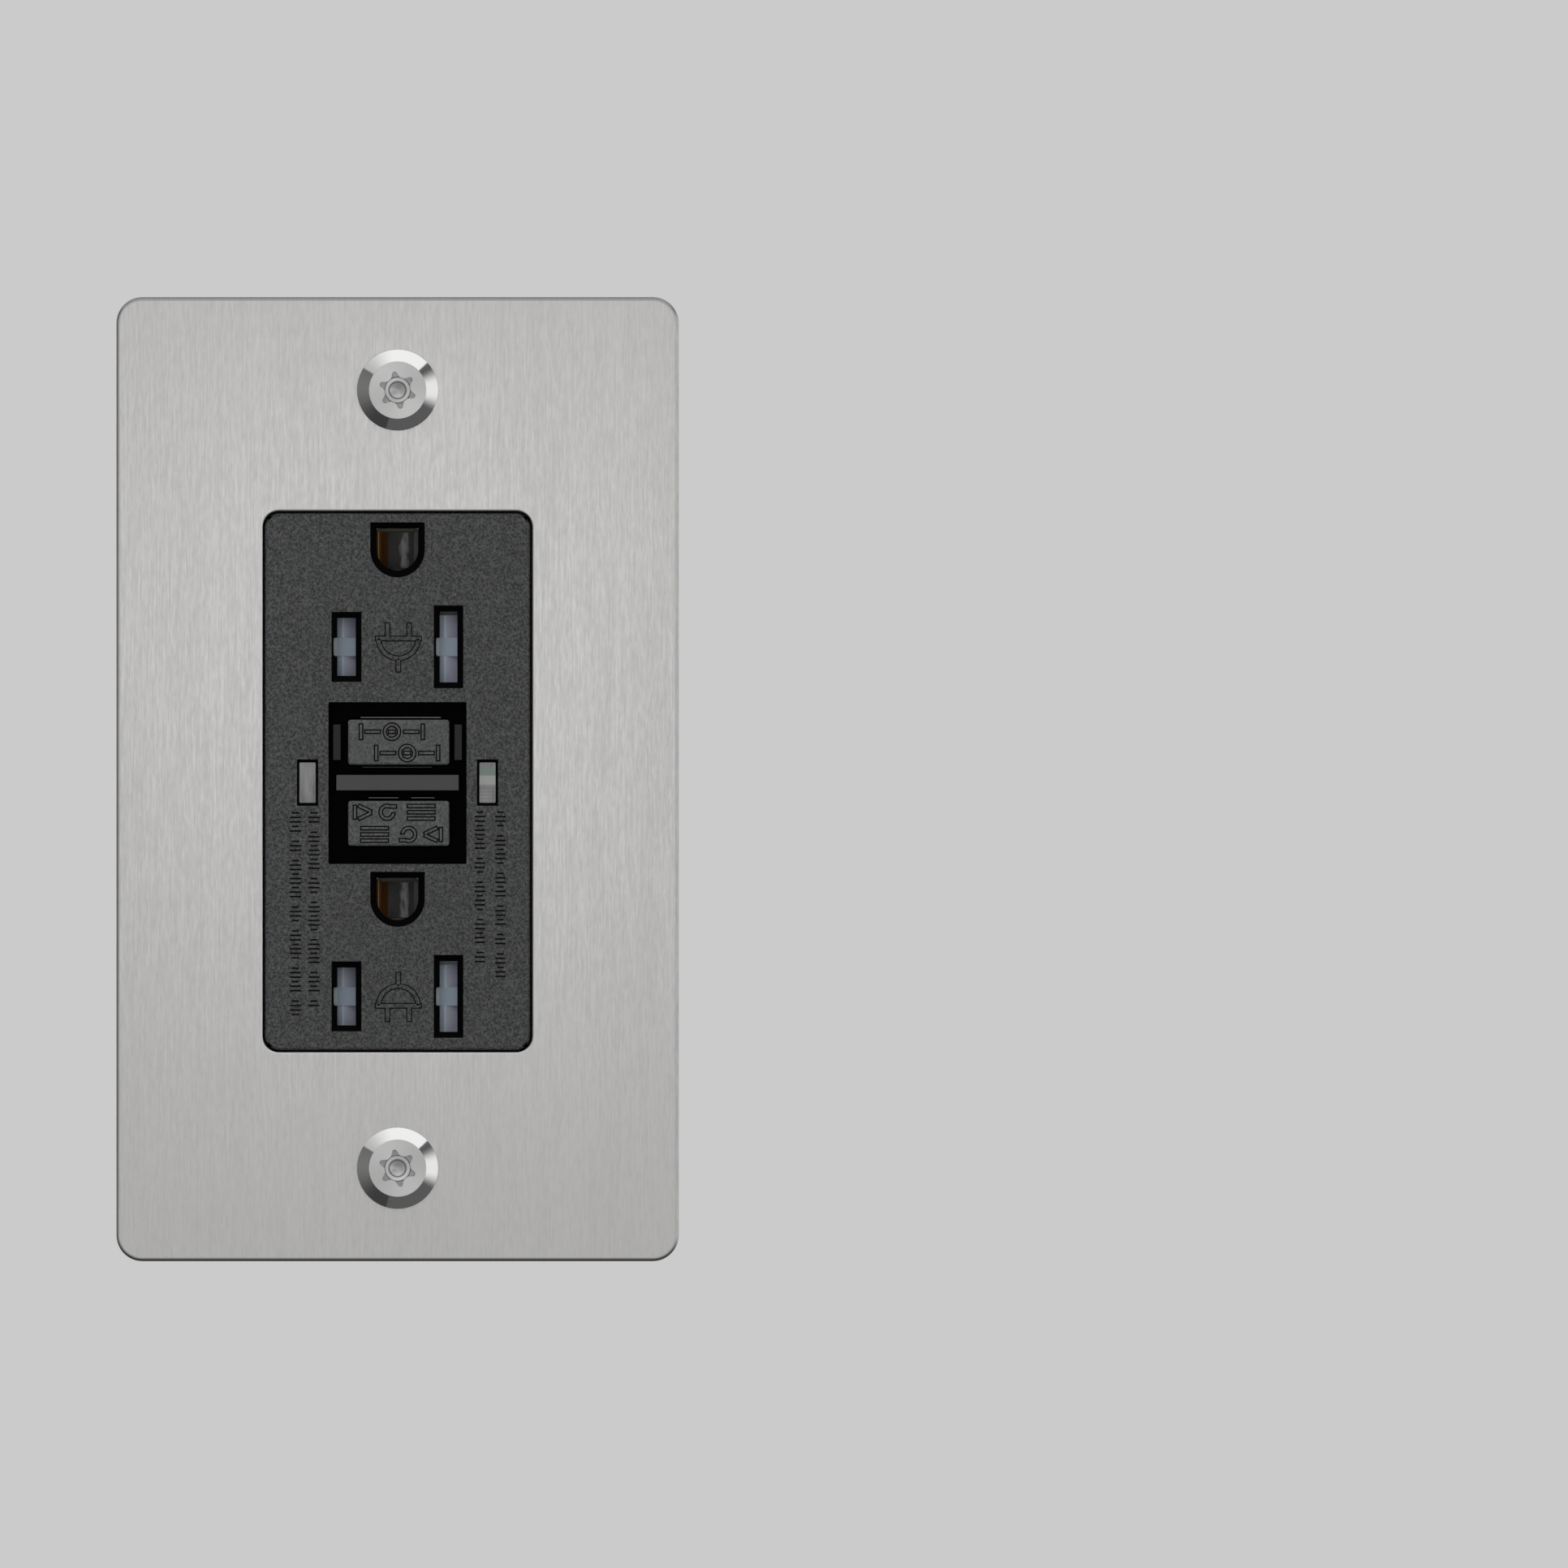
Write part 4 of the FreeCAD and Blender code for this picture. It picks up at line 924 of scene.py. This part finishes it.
@dataclass
class Dresser:
    """Puts on each CAD node its own finish, or the finish of its slot in the record."""

    frame: dict[str, Any]

    def build(self) -> int:
        """Dresses every node.

        Returns:
            How many nodes were dressed.
        """
        rows = self.frame["record"]["subparts"]
        for row in rows:
            node = self.frame["nodes"][row["node"]]
            node.data.materials.clear()
            finish = NODE_FINISHES.get(row["node"], FINISHES[row["material_slot"]])
            node.data.materials.append(finish.material())
        return len(rows)


# ---- Modelling bench ----


class Bench:
    """Mesh work with Blender's own operators on the active object."""

    @staticmethod
    def clear() -> None:
        """Deselects everything."""
        if bpy.context.object and bpy.context.object.mode != "OBJECT":
            bpy.ops.object.mode_set(mode="OBJECT")
        bpy.ops.object.select_all(action="DESELECT")

    @staticmethod
    def pick(piece: Any) -> None:
        """Makes one object the only selected and active one."""
        Bench.clear()
        piece.select_set(True)
        bpy.context.view_layer.objects.active = piece

    @staticmethod
    def edit(piece: Any, *steps: Callable[[], Any]) -> None:
        """Runs operators in edit mode with the whole mesh selected first."""
        Bench.pick(piece)
        bpy.ops.object.mode_set(mode="EDIT")
        bpy.ops.mesh.select_mode(type="FACE")
        bpy.ops.mesh.select_all(action="SELECT")
        for step in steps:
            step()
        bpy.ops.object.mode_set(mode="OBJECT")

    @staticmethod
    def settle(piece: Any) -> None:
        """Puts the object's place into its mesh."""
        Bench.pick(piece)
        bpy.ops.object.transform_apply(location=True, rotation=True, scale=True)

    @staticmethod
    def sheet(width: float, height: float, centre: Pair = (0.0, 0.0), turn: float = 0.0) -> Any:
        """Adds a flat rectangle on the XY plane.

        Args:
            width: Its width in millimetres.
            height: Its height in millimetres.
            centre: Its middle in millimetres.
            turn: Its turn about its middle in radians.

        Returns:
            The sheet.
        """
        bpy.ops.mesh.primitive_plane_add(size=1.0, location=(0, 0, 0))
        piece = bpy.context.object
        piece.scale = (width * MM, height * MM, 1.0)
        piece.rotation_euler = (0.0, 0.0, turn)
        piece.location = (centre[0] * MM, centre[1] * MM, 0.0)
        Bench.settle(piece)
        return piece

    @staticmethod
    def draw_out(piece: Any, height: float, *steps: Callable[[], Any]) -> None:
        """Draws a sheet out into a block, this many millimetres high, and then does the steps."""
        Bench.edit(
            piece,
            lambda: bpy.ops.mesh.extrude_region_move(
                TRANSFORM_OT_translate={"value": (0, 0, height * MM)}
            ),
            *steps,
            lambda: bpy.ops.mesh.select_all(action="SELECT"),
            Bench.outward,
        )

    @staticmethod
    def stand(piece: Any, centre: Pair, back: float, turned: bool = False) -> None:
        """Stands a piece up towards the viewer, upside down if turned, with its back at this Y."""
        piece.rotation_euler = (math.pi / 2, math.pi if turned else 0.0, 0.0)
        piece.location = (centre[0] * MM, back * MM, centre[1] * MM)
        Bench.settle(piece)

    @staticmethod
    def copy(piece: Any) -> Any:
        """A copy of a piece, with a mesh of its own."""
        copied = piece.copy()
        copied.data = piece.data.copy()
        bpy.context.collection.objects.link(copied)
        return copied

    @staticmethod
    def join(pieces: list[Any], name: str) -> Any:
        """Joins pieces into one object of this name."""
        Bench.clear()
        for piece in pieces:
            piece.select_set(True)
        bpy.context.view_layer.objects.active = pieces[0]
        if len(pieces) > 1:
            bpy.ops.object.join()
        joined = bpy.context.object
        joined.name = name
        joined.data.name = name
        return joined

    @staticmethod
    def modify(piece: Any, kind: str, settings: dict[str, Any]) -> None:
        """Adds a modifier and applies it."""
        Bench.pick(piece)
        modifier = piece.modifiers.new(kind.lower(), kind)
        for name, value in settings.items():
            setattr(modifier, name, value)
        bpy.ops.object.modifier_apply(modifier=modifier.name)

    @staticmethod
    def outward() -> None:
        """Turns the selected faces outwards, in edit mode."""
        bpy.ops.mesh.normals_make_consistent(inside=False)

    @staticmethod
    def finish(piece: Any, finish: Finish, body: str, slot: str) -> None:
        """Gives a piece its finish and its body."""
        piece.data.materials.clear()
        piece.data.materials.append(finish.material())
        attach(piece, body)


# ---- Raised signs ----


@dataclass(frozen=True)
class Bar:
    """A straight stroke in a sign, in millimetres, from one end's middle to the other's."""

    start: Pair
    end: Pair


@dataclass(frozen=True)
class Arc:
    """A curved stroke round a centre, in millimetres and degrees counted from the right."""

    centre: Pair
    radius: float
    start: float
    end: float


Stroke = Union[Bar, Arc]

ARC_STEP = math.radians(9)
FEWEST_ARC_STEPS = 6
SAME_POINT = 1e-7


@dataclass
class RaisedSign:
    """A pictogram of flat strokes that stand up from a front, on a thin black sheet of painted
    shadow round them.
    """

    name: str
    strokes: tuple[Stroke, ...]
    centre: Pair
    front: float
    width: float
    turned: bool
    height: float = 0.07
    # The painted shadow round the strokes: its width beyond each side, and its height.
    shadow_outline: float = 0.13
    shadow_outline_height: float = 0.012
    edge: float = 0.025

    def _bar(self, bar: Bar, width: float, extra: float) -> Any:
        """A flat strip along a bar, facing the viewer."""
        (u0, v0), (u1, v1) = bar.start, bar.end
        length = math.hypot(u1 - u0, v1 - v0) + extra
        middle = ((u0 + u1) / 2, (v0 + v1) / 2)
        return Bench.sheet(length, width, middle, math.atan2(v1 - v0, u1 - u0))

    def _arc(self, arc: Arc, width: float, extra: float) -> Any:
        """A flat ring segment, spun from one short edge."""
        spread = math.degrees(extra / 2 / arc.radius)
        start = math.radians(arc.start - spread)
        sweep = math.radians(arc.end - arc.start + 2 * spread)
        steps = max(FEWEST_ARC_STEPS, int(abs(sweep) / ARC_STEP))
        bpy.ops.mesh.primitive_plane_add(size=1.0, location=(0, 0, 0))
        strip = bpy.context.object
        reach = width * MM
        inner = arc.radius * MM - reach / 2
        Bench.pick(strip)
        bpy.ops.object.mode_set(mode="EDIT")
        bpy.ops.mesh.select_mode(type="VERT")
        bpy.ops.mesh.select_all(action="SELECT")
        bpy.ops.mesh.merge(type="CENTER")
        bpy.ops.transform.translate(value=(inner * math.cos(start), inner * math.sin(start), 0))
        bpy.ops.mesh.extrude_vertices_move(
            TRANSFORM_OT_translate={"value": (reach * math.cos(start), reach * math.sin(start), 0)}
        )
        bpy.ops.mesh.select_all(action="SELECT")
        bpy.ops.mesh.spin(steps=steps, angle=-sweep, center=(0, 0, 0), axis=(0, 0, 1))
        bpy.ops.mesh.select_all(action="SELECT")
        bpy.ops.mesh.remove_doubles(threshold=SAME_POINT)
        bpy.ops.object.mode_set(mode="OBJECT")
        strip.location = (arc.centre[0] * MM, arc.centre[1] * MM, 0.0)
        Bench.settle(strip)
        return strip

    def _layer(self, name: str, width: float, extra: float, height: float) -> Any:
        """All strokes as one raised piece, standing in front of the face."""
        strips = []
        for stroke in self.strokes:
            if isinstance(stroke, Bar):
                strips.append(self._bar(stroke, width, extra))
            else:
                strips.append(self._arc(stroke, width, extra))
        piece = Bench.join(strips, name)
        Bench.draw_out(piece, height)
        Bench.stand(piece, self.centre, self.front, self.turned)
        return piece

    def build(self, finish: Finish, body: str, slot: str) -> int:
        """Makes the strokes and the painted shadow round them.

        Args:
            finish: The finish of the raised strokes.
            body: The CAD body that carries the sign.
            slot: The record's slot of that finish; not used.

        Returns:
            How many pieces were made.
        """
        # Painted shadow: a thin black sheet a little wider than the strokes, under and round them.
        room = 2 * self.shadow_outline
        shadow_outline = self._layer(
            f"{self.name}_groove", self.width + room, room, self.shadow_outline_height
        )
        Bench.finish(shadow_outline, SHADOW_AND_PRINT_BLACK, body, slot)
        raised = self._layer(f"{self.name}_raised", self.width, 0.0, self.height)
        bevel = {"width": self.edge * MM, "segments": 2, "limit_method": "ANGLE"}
        Bench.modify(raised, "BEVEL", bevel)
        Bench.finish(raised, finish, body, slot)
        return 2


@dataclass
class FaceSigns:
    """The two plug signs between the blade slots: an upright plug with its lead."""

    width: float = 0.46
    places: tuple[tuple[Pair, bool], ...] = (((0.1, 16.4), False), ((0.1, -27.1), True))
    strokes: tuple[Stroke, ...] = (
        Bar((-1.35, 3.0), (-1.35, 1.35)),
        Bar((1.35, 3.0), (1.35, 1.35)),
        Bar((-2.8, 1.1), (2.8, 1.1)),
        Arc((0.0, 1.1), 2.45, 180, 360),
        Bar((0.0, -1.4), (0.0, -3.0)),
    )

    def build(self) -> int:
        """Makes both signs."""
        made = 0
        for index, (centre, turned) in enumerate(self.places):
            sign = RaisedSign(
                f"plug_sign_{index}", self.strokes, centre, FACE_FRONT, self.width, turned
            )
            made += sign.build(FACE, FIXED, "face_plastic")
        return made


@dataclass
class ButtonSigns:
    """Signs in two rows on each button, one row upside down: a press mark and a return mark."""

    width: float = 0.27
    # The width of the painted shadow beyond each side of a stroke.
    shadow_outline: float = 0.16
    press: tuple[Stroke, ...] = (
        Bar((-3.85, 0.9), (-3.85, -0.9)),
        Bar((-3.3, 0.0), (-1.5, 0.0)),
        Arc((0.0, 0.0), 0.88, 0, 360),
        Bar((-0.35, 0.0), (0.35, 0.0)),
        Bar((1.5, 0.0), (3.3, 0.0)),
        Bar((3.85, 0.9), (3.85, -0.9)),
    )
    back: tuple[Stroke, ...] = (
        Bar((-5.0, 0.8), (-5.0, -0.8)),
        Bar((-4.5, 0.8), (-3.0, 0.1)),
        Bar((-4.5, -0.8), (-3.0, -0.1)),
        Arc((-1.0, 0.0), 0.8, 60, 350),
        Bar((-0.55, 0.72), (0.1, 0.72)),
        Bar((1.6, 0.78), (4.9, 0.78)),
        Bar((1.6, 0.0), (4.9, 0.0)),
        Bar((1.6, -0.78), (4.9, -0.78)),
    )

    def build(self) -> int:
        """Makes the rows of both buttons."""
        press_places = ((-0.7, 5.9), (1.2, 3.25))
        return_places = ((-0.3, -4.12), (0.4, -6.88))
        rows = (
            ("press_sign", "test_button", self.press, TEST_FRONT, press_places),
            ("return_sign", "reset_button", self.back, RESET_FRONT, return_places),
        )
        made = 0
        for name, body, strokes, front, (upper, lower) in rows:
            for index, (centre, turned) in enumerate(((upper, False), (lower, True))):
                label = f"{name}_{index}"
                sign = RaisedSign(label, strokes, centre, front, self.width, turned)
                sign.shadow_outline = self.shadow_outline
                made += sign.build(BUTTON, body, "button_plastic")
        return made


@dataclass
class BezelLips:
    """Thin lips on the bezel beside the buttons, each coloured as a painted highlight, bright, soft
    or dim.
    """

    back: float = -4.8
    front: float = -5.9
    thickness: float = 0.10
    edge: float = 0.04
    # Painted highlights: the lips' colours stand for light caught along them.
    bright: Finish = MouldedPlastic("lip_painted_highlight", (0.24, 0.235, 0.20), 0.3)
    soft: Finish = MouldedPlastic("lip_painted_half_highlight", grey(0.10), 0.3)
    dim: Finish = MouldedPlastic("lip_painted_faint_highlight", grey(0.03), 0.35)

    def _lip(self, name: str, left: float, right: float, z: float) -> Any:
        """One lip: a sheet drawn out towards the viewer, with rounded edges."""
        piece = Bench.sheet(right - left, self.thickness)
        piece.name = name
        Bench.draw_out(piece, self.back - self.front)
        Bench.stand(piece, ((left + right) / 2, z), self.back)
        Bench.modify(piece, "BEVEL", {"width": self.edge * MM, "segments": 2})
        return piece

    def build(self) -> int:
        """Makes the lips above and below the press button and above the return button.

        Returns:
            How many pieces were made.
        """
        lips = (
            ("lip_high", -4.6, 5.4, 7.67, self.bright),
            ("lip_middle", -4.4, 4.3, 1.5, self.dim),
            ("lip_low_left", -3.6, 0.1, -2.32, self.soft),
            ("lip_low_right", 1.7, 4.6, -2.32, self.soft),
        )
        for name, left, right, z, finish in lips:
            Bench.finish(self._lip(name, left, right, z), finish, FIXED, "guide_plastic")
        return len(lips)


@dataclass
class IndexTicks:
    """Four columns of short index ticks on the face beside the lamp windows.

    Each column gives its X, the ticks' width, and the Z of its top and of its bottom. The first
    tick of a group and every third after it are short. The groups take their lengths in turn.
    """

    tick: float = 0.2
    rise: float = 0.014
    inset: float = 0.02
    pitch: float = 0.56
    short: float = 0.62
    gap: float = 1.3
    columns: tuple[tuple[float, float, float, float], ...] = (
        (-12.7, 1.4, -4.2, -29.3),
        (-10.4, 1.4, -4.2, -28.3),
        (10.25, 1.3, -4.1, -22.7),
        (12.8, 1.3, -4.1, -24.7),
    )
    groups: tuple[int, ...] = (5, 3, 9, 4, 7, 6)

    def _tick(self, width: float) -> Any:
        """One tick, lying at the origin: a sheet raised a little, with its front drawn in."""
        piece = Bench.sheet(width, self.tick)
        Bench.draw_out(piece, self.rise, lambda: bpy.ops.mesh.inset(thickness=self.inset * MM))
        return piece

    def build(self) -> int:
        """Makes each column as one piece.

        Returns:
            How many pieces were made.
        """
        for index, (x, width, top, bottom) in enumerate(self.columns):
            long, short = self._tick(width), self._tick(width * self.short)
            ticks, z, count, group = [], top, 0, index
            while z > bottom:
                ticks.append(Bench.copy(long if count % 3 else short))
                Bench.stand(ticks[-1], (x, z), FACE_FRONT)
                count += 1
                z -= self.pitch
                if count >= self.groups[group % len(self.groups)]:
                    z, count, group = z - self.pitch * self.gap, 0, group + 1
            for pattern in (long, short):
                bpy.data.objects.remove(pattern)
            column = Bench.join(ticks, f"index_ticks_{index}")
            Bench.finish(column, SHADOW_AND_PRINT_BLACK, FIXED, "face_plastic")
        return len(self.columns)


# ---- Coil springs ----


TURNED_TO = {"X": (0.0, math.pi / 2, 0.0), "Y": (-math.pi / 2, 0.0, 0.0), "Z": (0.0, 0.0, 0.0)}


@dataclass
class CoilSpring:
    """A coil spring in the room of its CAD envelope, with closed ends. Sizes are millimetres."""

    node: str
    axis: str
    centres: tuple[Triple, ...]
    low: float
    high: float
    radius: float
    wire: float
    turns: int
    joint: Optional[str] = None
    keep: float = 1.0
    wire_sides: int = 10
    turn_steps: int = 28

    def _coil(self) -> Any:
        """A coil that stands on the XY plane along Z."""
        length = self.high - self.low - self.wire
        bpy.ops.mesh.primitive_circle_add(
            vertices=self.wire_sides,
            radius=self.wire / 2 * MM,
            fill_type="NOTHING",
            location=((self.radius - self.wire / 2) * MM, 0, self.wire / 2 * MM),
            rotation=(math.pi / 2, 0, 0),
        )
        coil = bpy.context.object
        Bench.settle(coil)
        screw = {
            "axis": "Z",
            "angle": 2 * math.pi,
            "screw_offset": length / self.turns * MM,
            "iterations": self.turns,
            "steps": self.turn_steps,
            "render_steps": self.turn_steps,
            "use_merge_vertices": False,
        }
        Bench.modify(coil, "SCREW", screw)
        Bench.edit(
            coil,
            lambda: bpy.ops.mesh.select_mode(type="EDGE"),
            lambda: bpy.ops.mesh.select_all(action="DESELECT"),
            bpy.ops.mesh.select_non_manifold,
            bpy.ops.mesh.edge_face_add,
            lambda: bpy.ops.mesh.select_all(action="SELECT"),
            Bench.outward,
        )
        return coil

    def build(self) -> int:
        """Makes the coil, copied to each centre, and sets it in place of its node.

        Returns:
            How many pieces were made.
        """
        first = self._coil()
        coils = [first] + [Bench.copy(first) for _ in self.centres[1:]]
        for coil, centre in zip(coils, self.centres):
            place = Vector(centre)
            place["XYZ".index(self.axis)] = self.low
            coil.rotation_euler = TURNED_TO[self.axis]
            coil.location = place * MM
            Bench.settle(coil)
        spring = Bench.join(coils, f"{self.node}_coil")
        bpy.ops.object.shade_smooth()
        Bench.finish(spring, SPRING, FIXED, "spring_steel")
        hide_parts(self.node)
        if self.joint:
            anchor = [c * MM for c in self.centres[0]]
            anchor["XYZ".index(self.axis)] = self.high * MM
            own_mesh(spring)
        return 1


@dataclass
class SpringSet:
    """Every coil spring in the outlet."""

    springs: tuple[CoilSpring, ...] = (
        CoilSpring(
            "test_spring", "Y", ((0.15, 0.0, 4.6),), -2.28, 2.72, 2.25, 0.55, 5,
            "test_press", 0.7,
        ),
        CoilSpring(
            "reset_spring", "Y", ((0.15, 0.0, -5.5),), -2.28, 5.72, 2.75, 0.55, 7,
            "reset_press", 0.775,
        ),
        CoilSpring(
            "upper_shutter_spring", "X", ((0.0, -3.6, 23.16),), -9.58, 2.92, 0.73, 0.24, 17,
            "upper_shutter_slide", 0.744,
        ),
        CoilSpring(
            "lower_shutter_spring", "X", ((0.0, -3.6, -20.34),), -9.58, 2.92, 0.73, 0.24, 17,
            "lower_shutter_slide", 0.744,
        ),
        CoilSpring(
            "plunger_spring", "Z", ((0.0, 17.1, 0.0),), -30.28, -27.03, 1.65, 0.4, 4,
            "plunger_fire", 0.6,
        ),
        CoilSpring(
            "trip_springs", "Y", ((-4.2, 0.0, -2.8), (4.2, 0.0, -2.8)), 11.52, 16.07, 1.03, 0.28, 7,
        ),
    )

    def build(self) -> int:
        """Makes every spring."""
        return sum(spring.build() for spring in self.springs)


# ---- Studio ----


@dataclass(frozen=True)
class Room:
    """How strong the light is from each side of the room.

    The bearing goes round the line of sight, in degrees from straight up and clockwise.
    """

    side_fall: Pair = (0.38, 0.70)
    above_from: float = -57.0
    above_to: float = 47.0
    above_edges: Pair = (1.2, 1.0)
    vignette: Pair = (0.45, 0.60)
    vignette_span: Pair = (-60.0, 55.0)
    right: Triple = (88.0, 8.0, 34.0)
    right_light: float = 0.95
    low_left_from: float = -164.0
    low_left_to: float = -135.0
    low_left_edges: Pair = (1.5, 50.0)
    low_left_dark: float = 0.07
    base: float = 0.13
    left: Triple = (-85.0, 0.0, 60.0)
    left_light: float = 0.09
    front_light: float = 0.62
    front_tilt: Triple = (0.30, 0.10, 0.10)
    behind_span: Pair = (0.1, 0.5)
    behind_dark: float = 0.15

    def strength(self, x: Wire, y: Wire, z: Wire) -> Wire:
        """The light's strength.

        Args:
            x: The direction's share to the right.
            y: Its share away from the camera.
            z: Its share upwards.

        Returns:
            The strength.
        """
        bearing = x.angle(z) * (180 / math.pi)
        side = 1 - abs(y).ramp(*self.side_fall)
        above = (bearing - self.above_from).ramp(0.0, self.above_edges[0])
        above = above * (1 - (bearing - self.above_to).ramp(0.0, self.above_edges[1]))
        start, span = self.vignette_span
        vignette = self.vignette[0] + self.vignette[1] * (bearing - start).ramp(0.0, span)
        low_left = (bearing - self.low_left_from).ramp(0.0, self.low_left_edges[0])
        low_left = low_left * (1 - (bearing - self.low_left_to).ramp(0.0, self.low_left_edges[1]))
        room = self.base + self.left_light * bearing.band(*self.left)
        room = room - low_left * self.low_left_dark
        edge = room + above * vignette + bearing.band(*self.right) * self.right_light
        across, up, rise = self.front_tilt
        ahead = self.front_light + across * abs(x) - up * abs(z) + z * rise
        behind = y.ramp(*self.behind_span) * self.behind_dark
        return edge * side + (ahead - behind) * (1 - side)


@dataclass(frozen=True)
class Lamp:
    """A square soft lamp that faces the outlet. Places and sizes are metres, power is watts."""

    name: str
    place: Triple
    size: float
    power: float
    glossy: bool

    def build(self) -> None:
        """Hangs the lamp, which reflections show only if it is glossy."""
        data = bpy.data.lights.new(self.name, "AREA")
        data.shape = "SQUARE"
        data.size = self.size
        data.energy = self.power
        lamp = bpy.data.objects.new(self.name, data)
        lamp.location = self.place
        lamp.rotation_euler = (-Vector(self.place)).to_track_quat("-Z", "Y").to_euler()
        lamp.visible_camera = False
        lamp.visible_glossy = self.glossy
        bpy.context.scene.collection.objects.link(lamp)


@dataclass
class Studio:
    """The camera, the pale floor and the soft light round the outlet."""

    camera_place: Triple = (0.0481, -0.9, -0.0006)
    picture_width: float = 0.19515
    sight_range: float = 20.0
    backdrop: Colour = grey(0.597)
    floor_size: float = 6.0
    floor_drop: float = 0.0005
    floor_colours: tuple[Colour, Colour] = (grey(0.60), grey(0.63))
    room: Room = Room()
    lamps: tuple[Lamp, ...] = (
        Lamp("high_lamp", (-0.17, -0.28, 0.33), 0.28, 0.56, glossy=False),
        Lamp("front_lamp", (0.0, -0.20, 0.012), 0.08, 0.010, glossy=True),
    )

    def _camera(self) -> None:
        """Looks straight at the face, without perspective."""
        data = bpy.data.cameras.new("face_camera")
        data.type = "ORTHO"
        data.ortho_scale = self.picture_width
        data.clip_end = self.sight_range
        camera = bpy.data.objects.new("face_camera", data)
        camera.location = self.camera_place
        camera.rotation_euler = (math.pi / 2, 0.0, 0.0)
        bpy.context.scene.collection.objects.link(camera)
        bpy.context.scene.camera = camera

    def _floor(self) -> None:
        """A plain pale floor under the plate."""
        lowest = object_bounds()[0][2] - self.floor_drop
        Bench.clear()
        bpy.ops.mesh.primitive_plane_add(size=self.floor_size, location=(0, 0, lowest))
        floor = bpy.context.object
        floor.name = "studio_floor"
        surface = Surface("floor_paint")
        cloud = surface.noise(3, 2.0)
        surface.paint(
            Base_Color=surface.mix(cloud, *self.floor_colours), Roughness=0.8 + cloud * 0.1
        )
        floor.data.materials.append(surface.material)
        floor.visible_glossy = False
        floor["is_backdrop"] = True

    def _sky(self) -> None:
        """A grey room that lights the outlet, behind a plain backdrop for the camera."""
        world = bpy.data.worlds.new("studio_room")
        world.use_nodes = True
        bpy.context.scene.world = world
        bench = NodeBench(world.node_tree)
        ray = bench.node("ShaderNodeTexCoord", {}, {}).outputs["Generated"]
        parts = bench.node("ShaderNodeSeparateXYZ", {}, {0: ray})
        strength = self.room.strength(*(Wire(bench, parts.outputs[i]) for i in range(3)))
        lit = bench.node("ShaderNodeBackground", {}, {"Color": grey(1.0), "Strength": strength})
        seen = bench.node("ShaderNodeBackground", {}, {"Color": self.backdrop, "Strength": 1.0})
        path = bench.node("ShaderNodeLightPath", {}, {})
        both = bench.node(
            "ShaderNodeMixShader",
            {},
            {0: path.outputs["Is Camera Ray"], 1: lit.outputs[0], 2: seen.outputs[0]},
        )
        bench.node("ShaderNodeOutputWorld", {}, {"Surface": both.outputs[0]})

    def build(self) -> int:
        """Sets up the studio.

        Returns:
            How many stage pieces there are.
        """
        scene = bpy.context.scene
        scene.view_settings.view_transform = "Standard"
        scene.view_settings.look = "None"
        self._camera()
        self._floor()
        self._sky()
        for lamp in self.lamps:
            lamp.build()
        return 1


def main() -> None:
    """Builds everything in order."""
    logging.basicConfig(level=logging.INFO, format="%(name)s: %(message)s")
    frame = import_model()
    LOG.info("nodes dressed: %d", Dresser(frame).build())
    for stage in (FaceSigns(), ButtonSigns(), BezelLips(), IndexTicks(), SpringSet()):
        LOG.info("%s: %d pieces", type(stage).__name__, stage.build())
    LOG.info("studio: %d stage piece", Studio().build())
    Bench.clear()


if __name__ == "__main__":
    main()
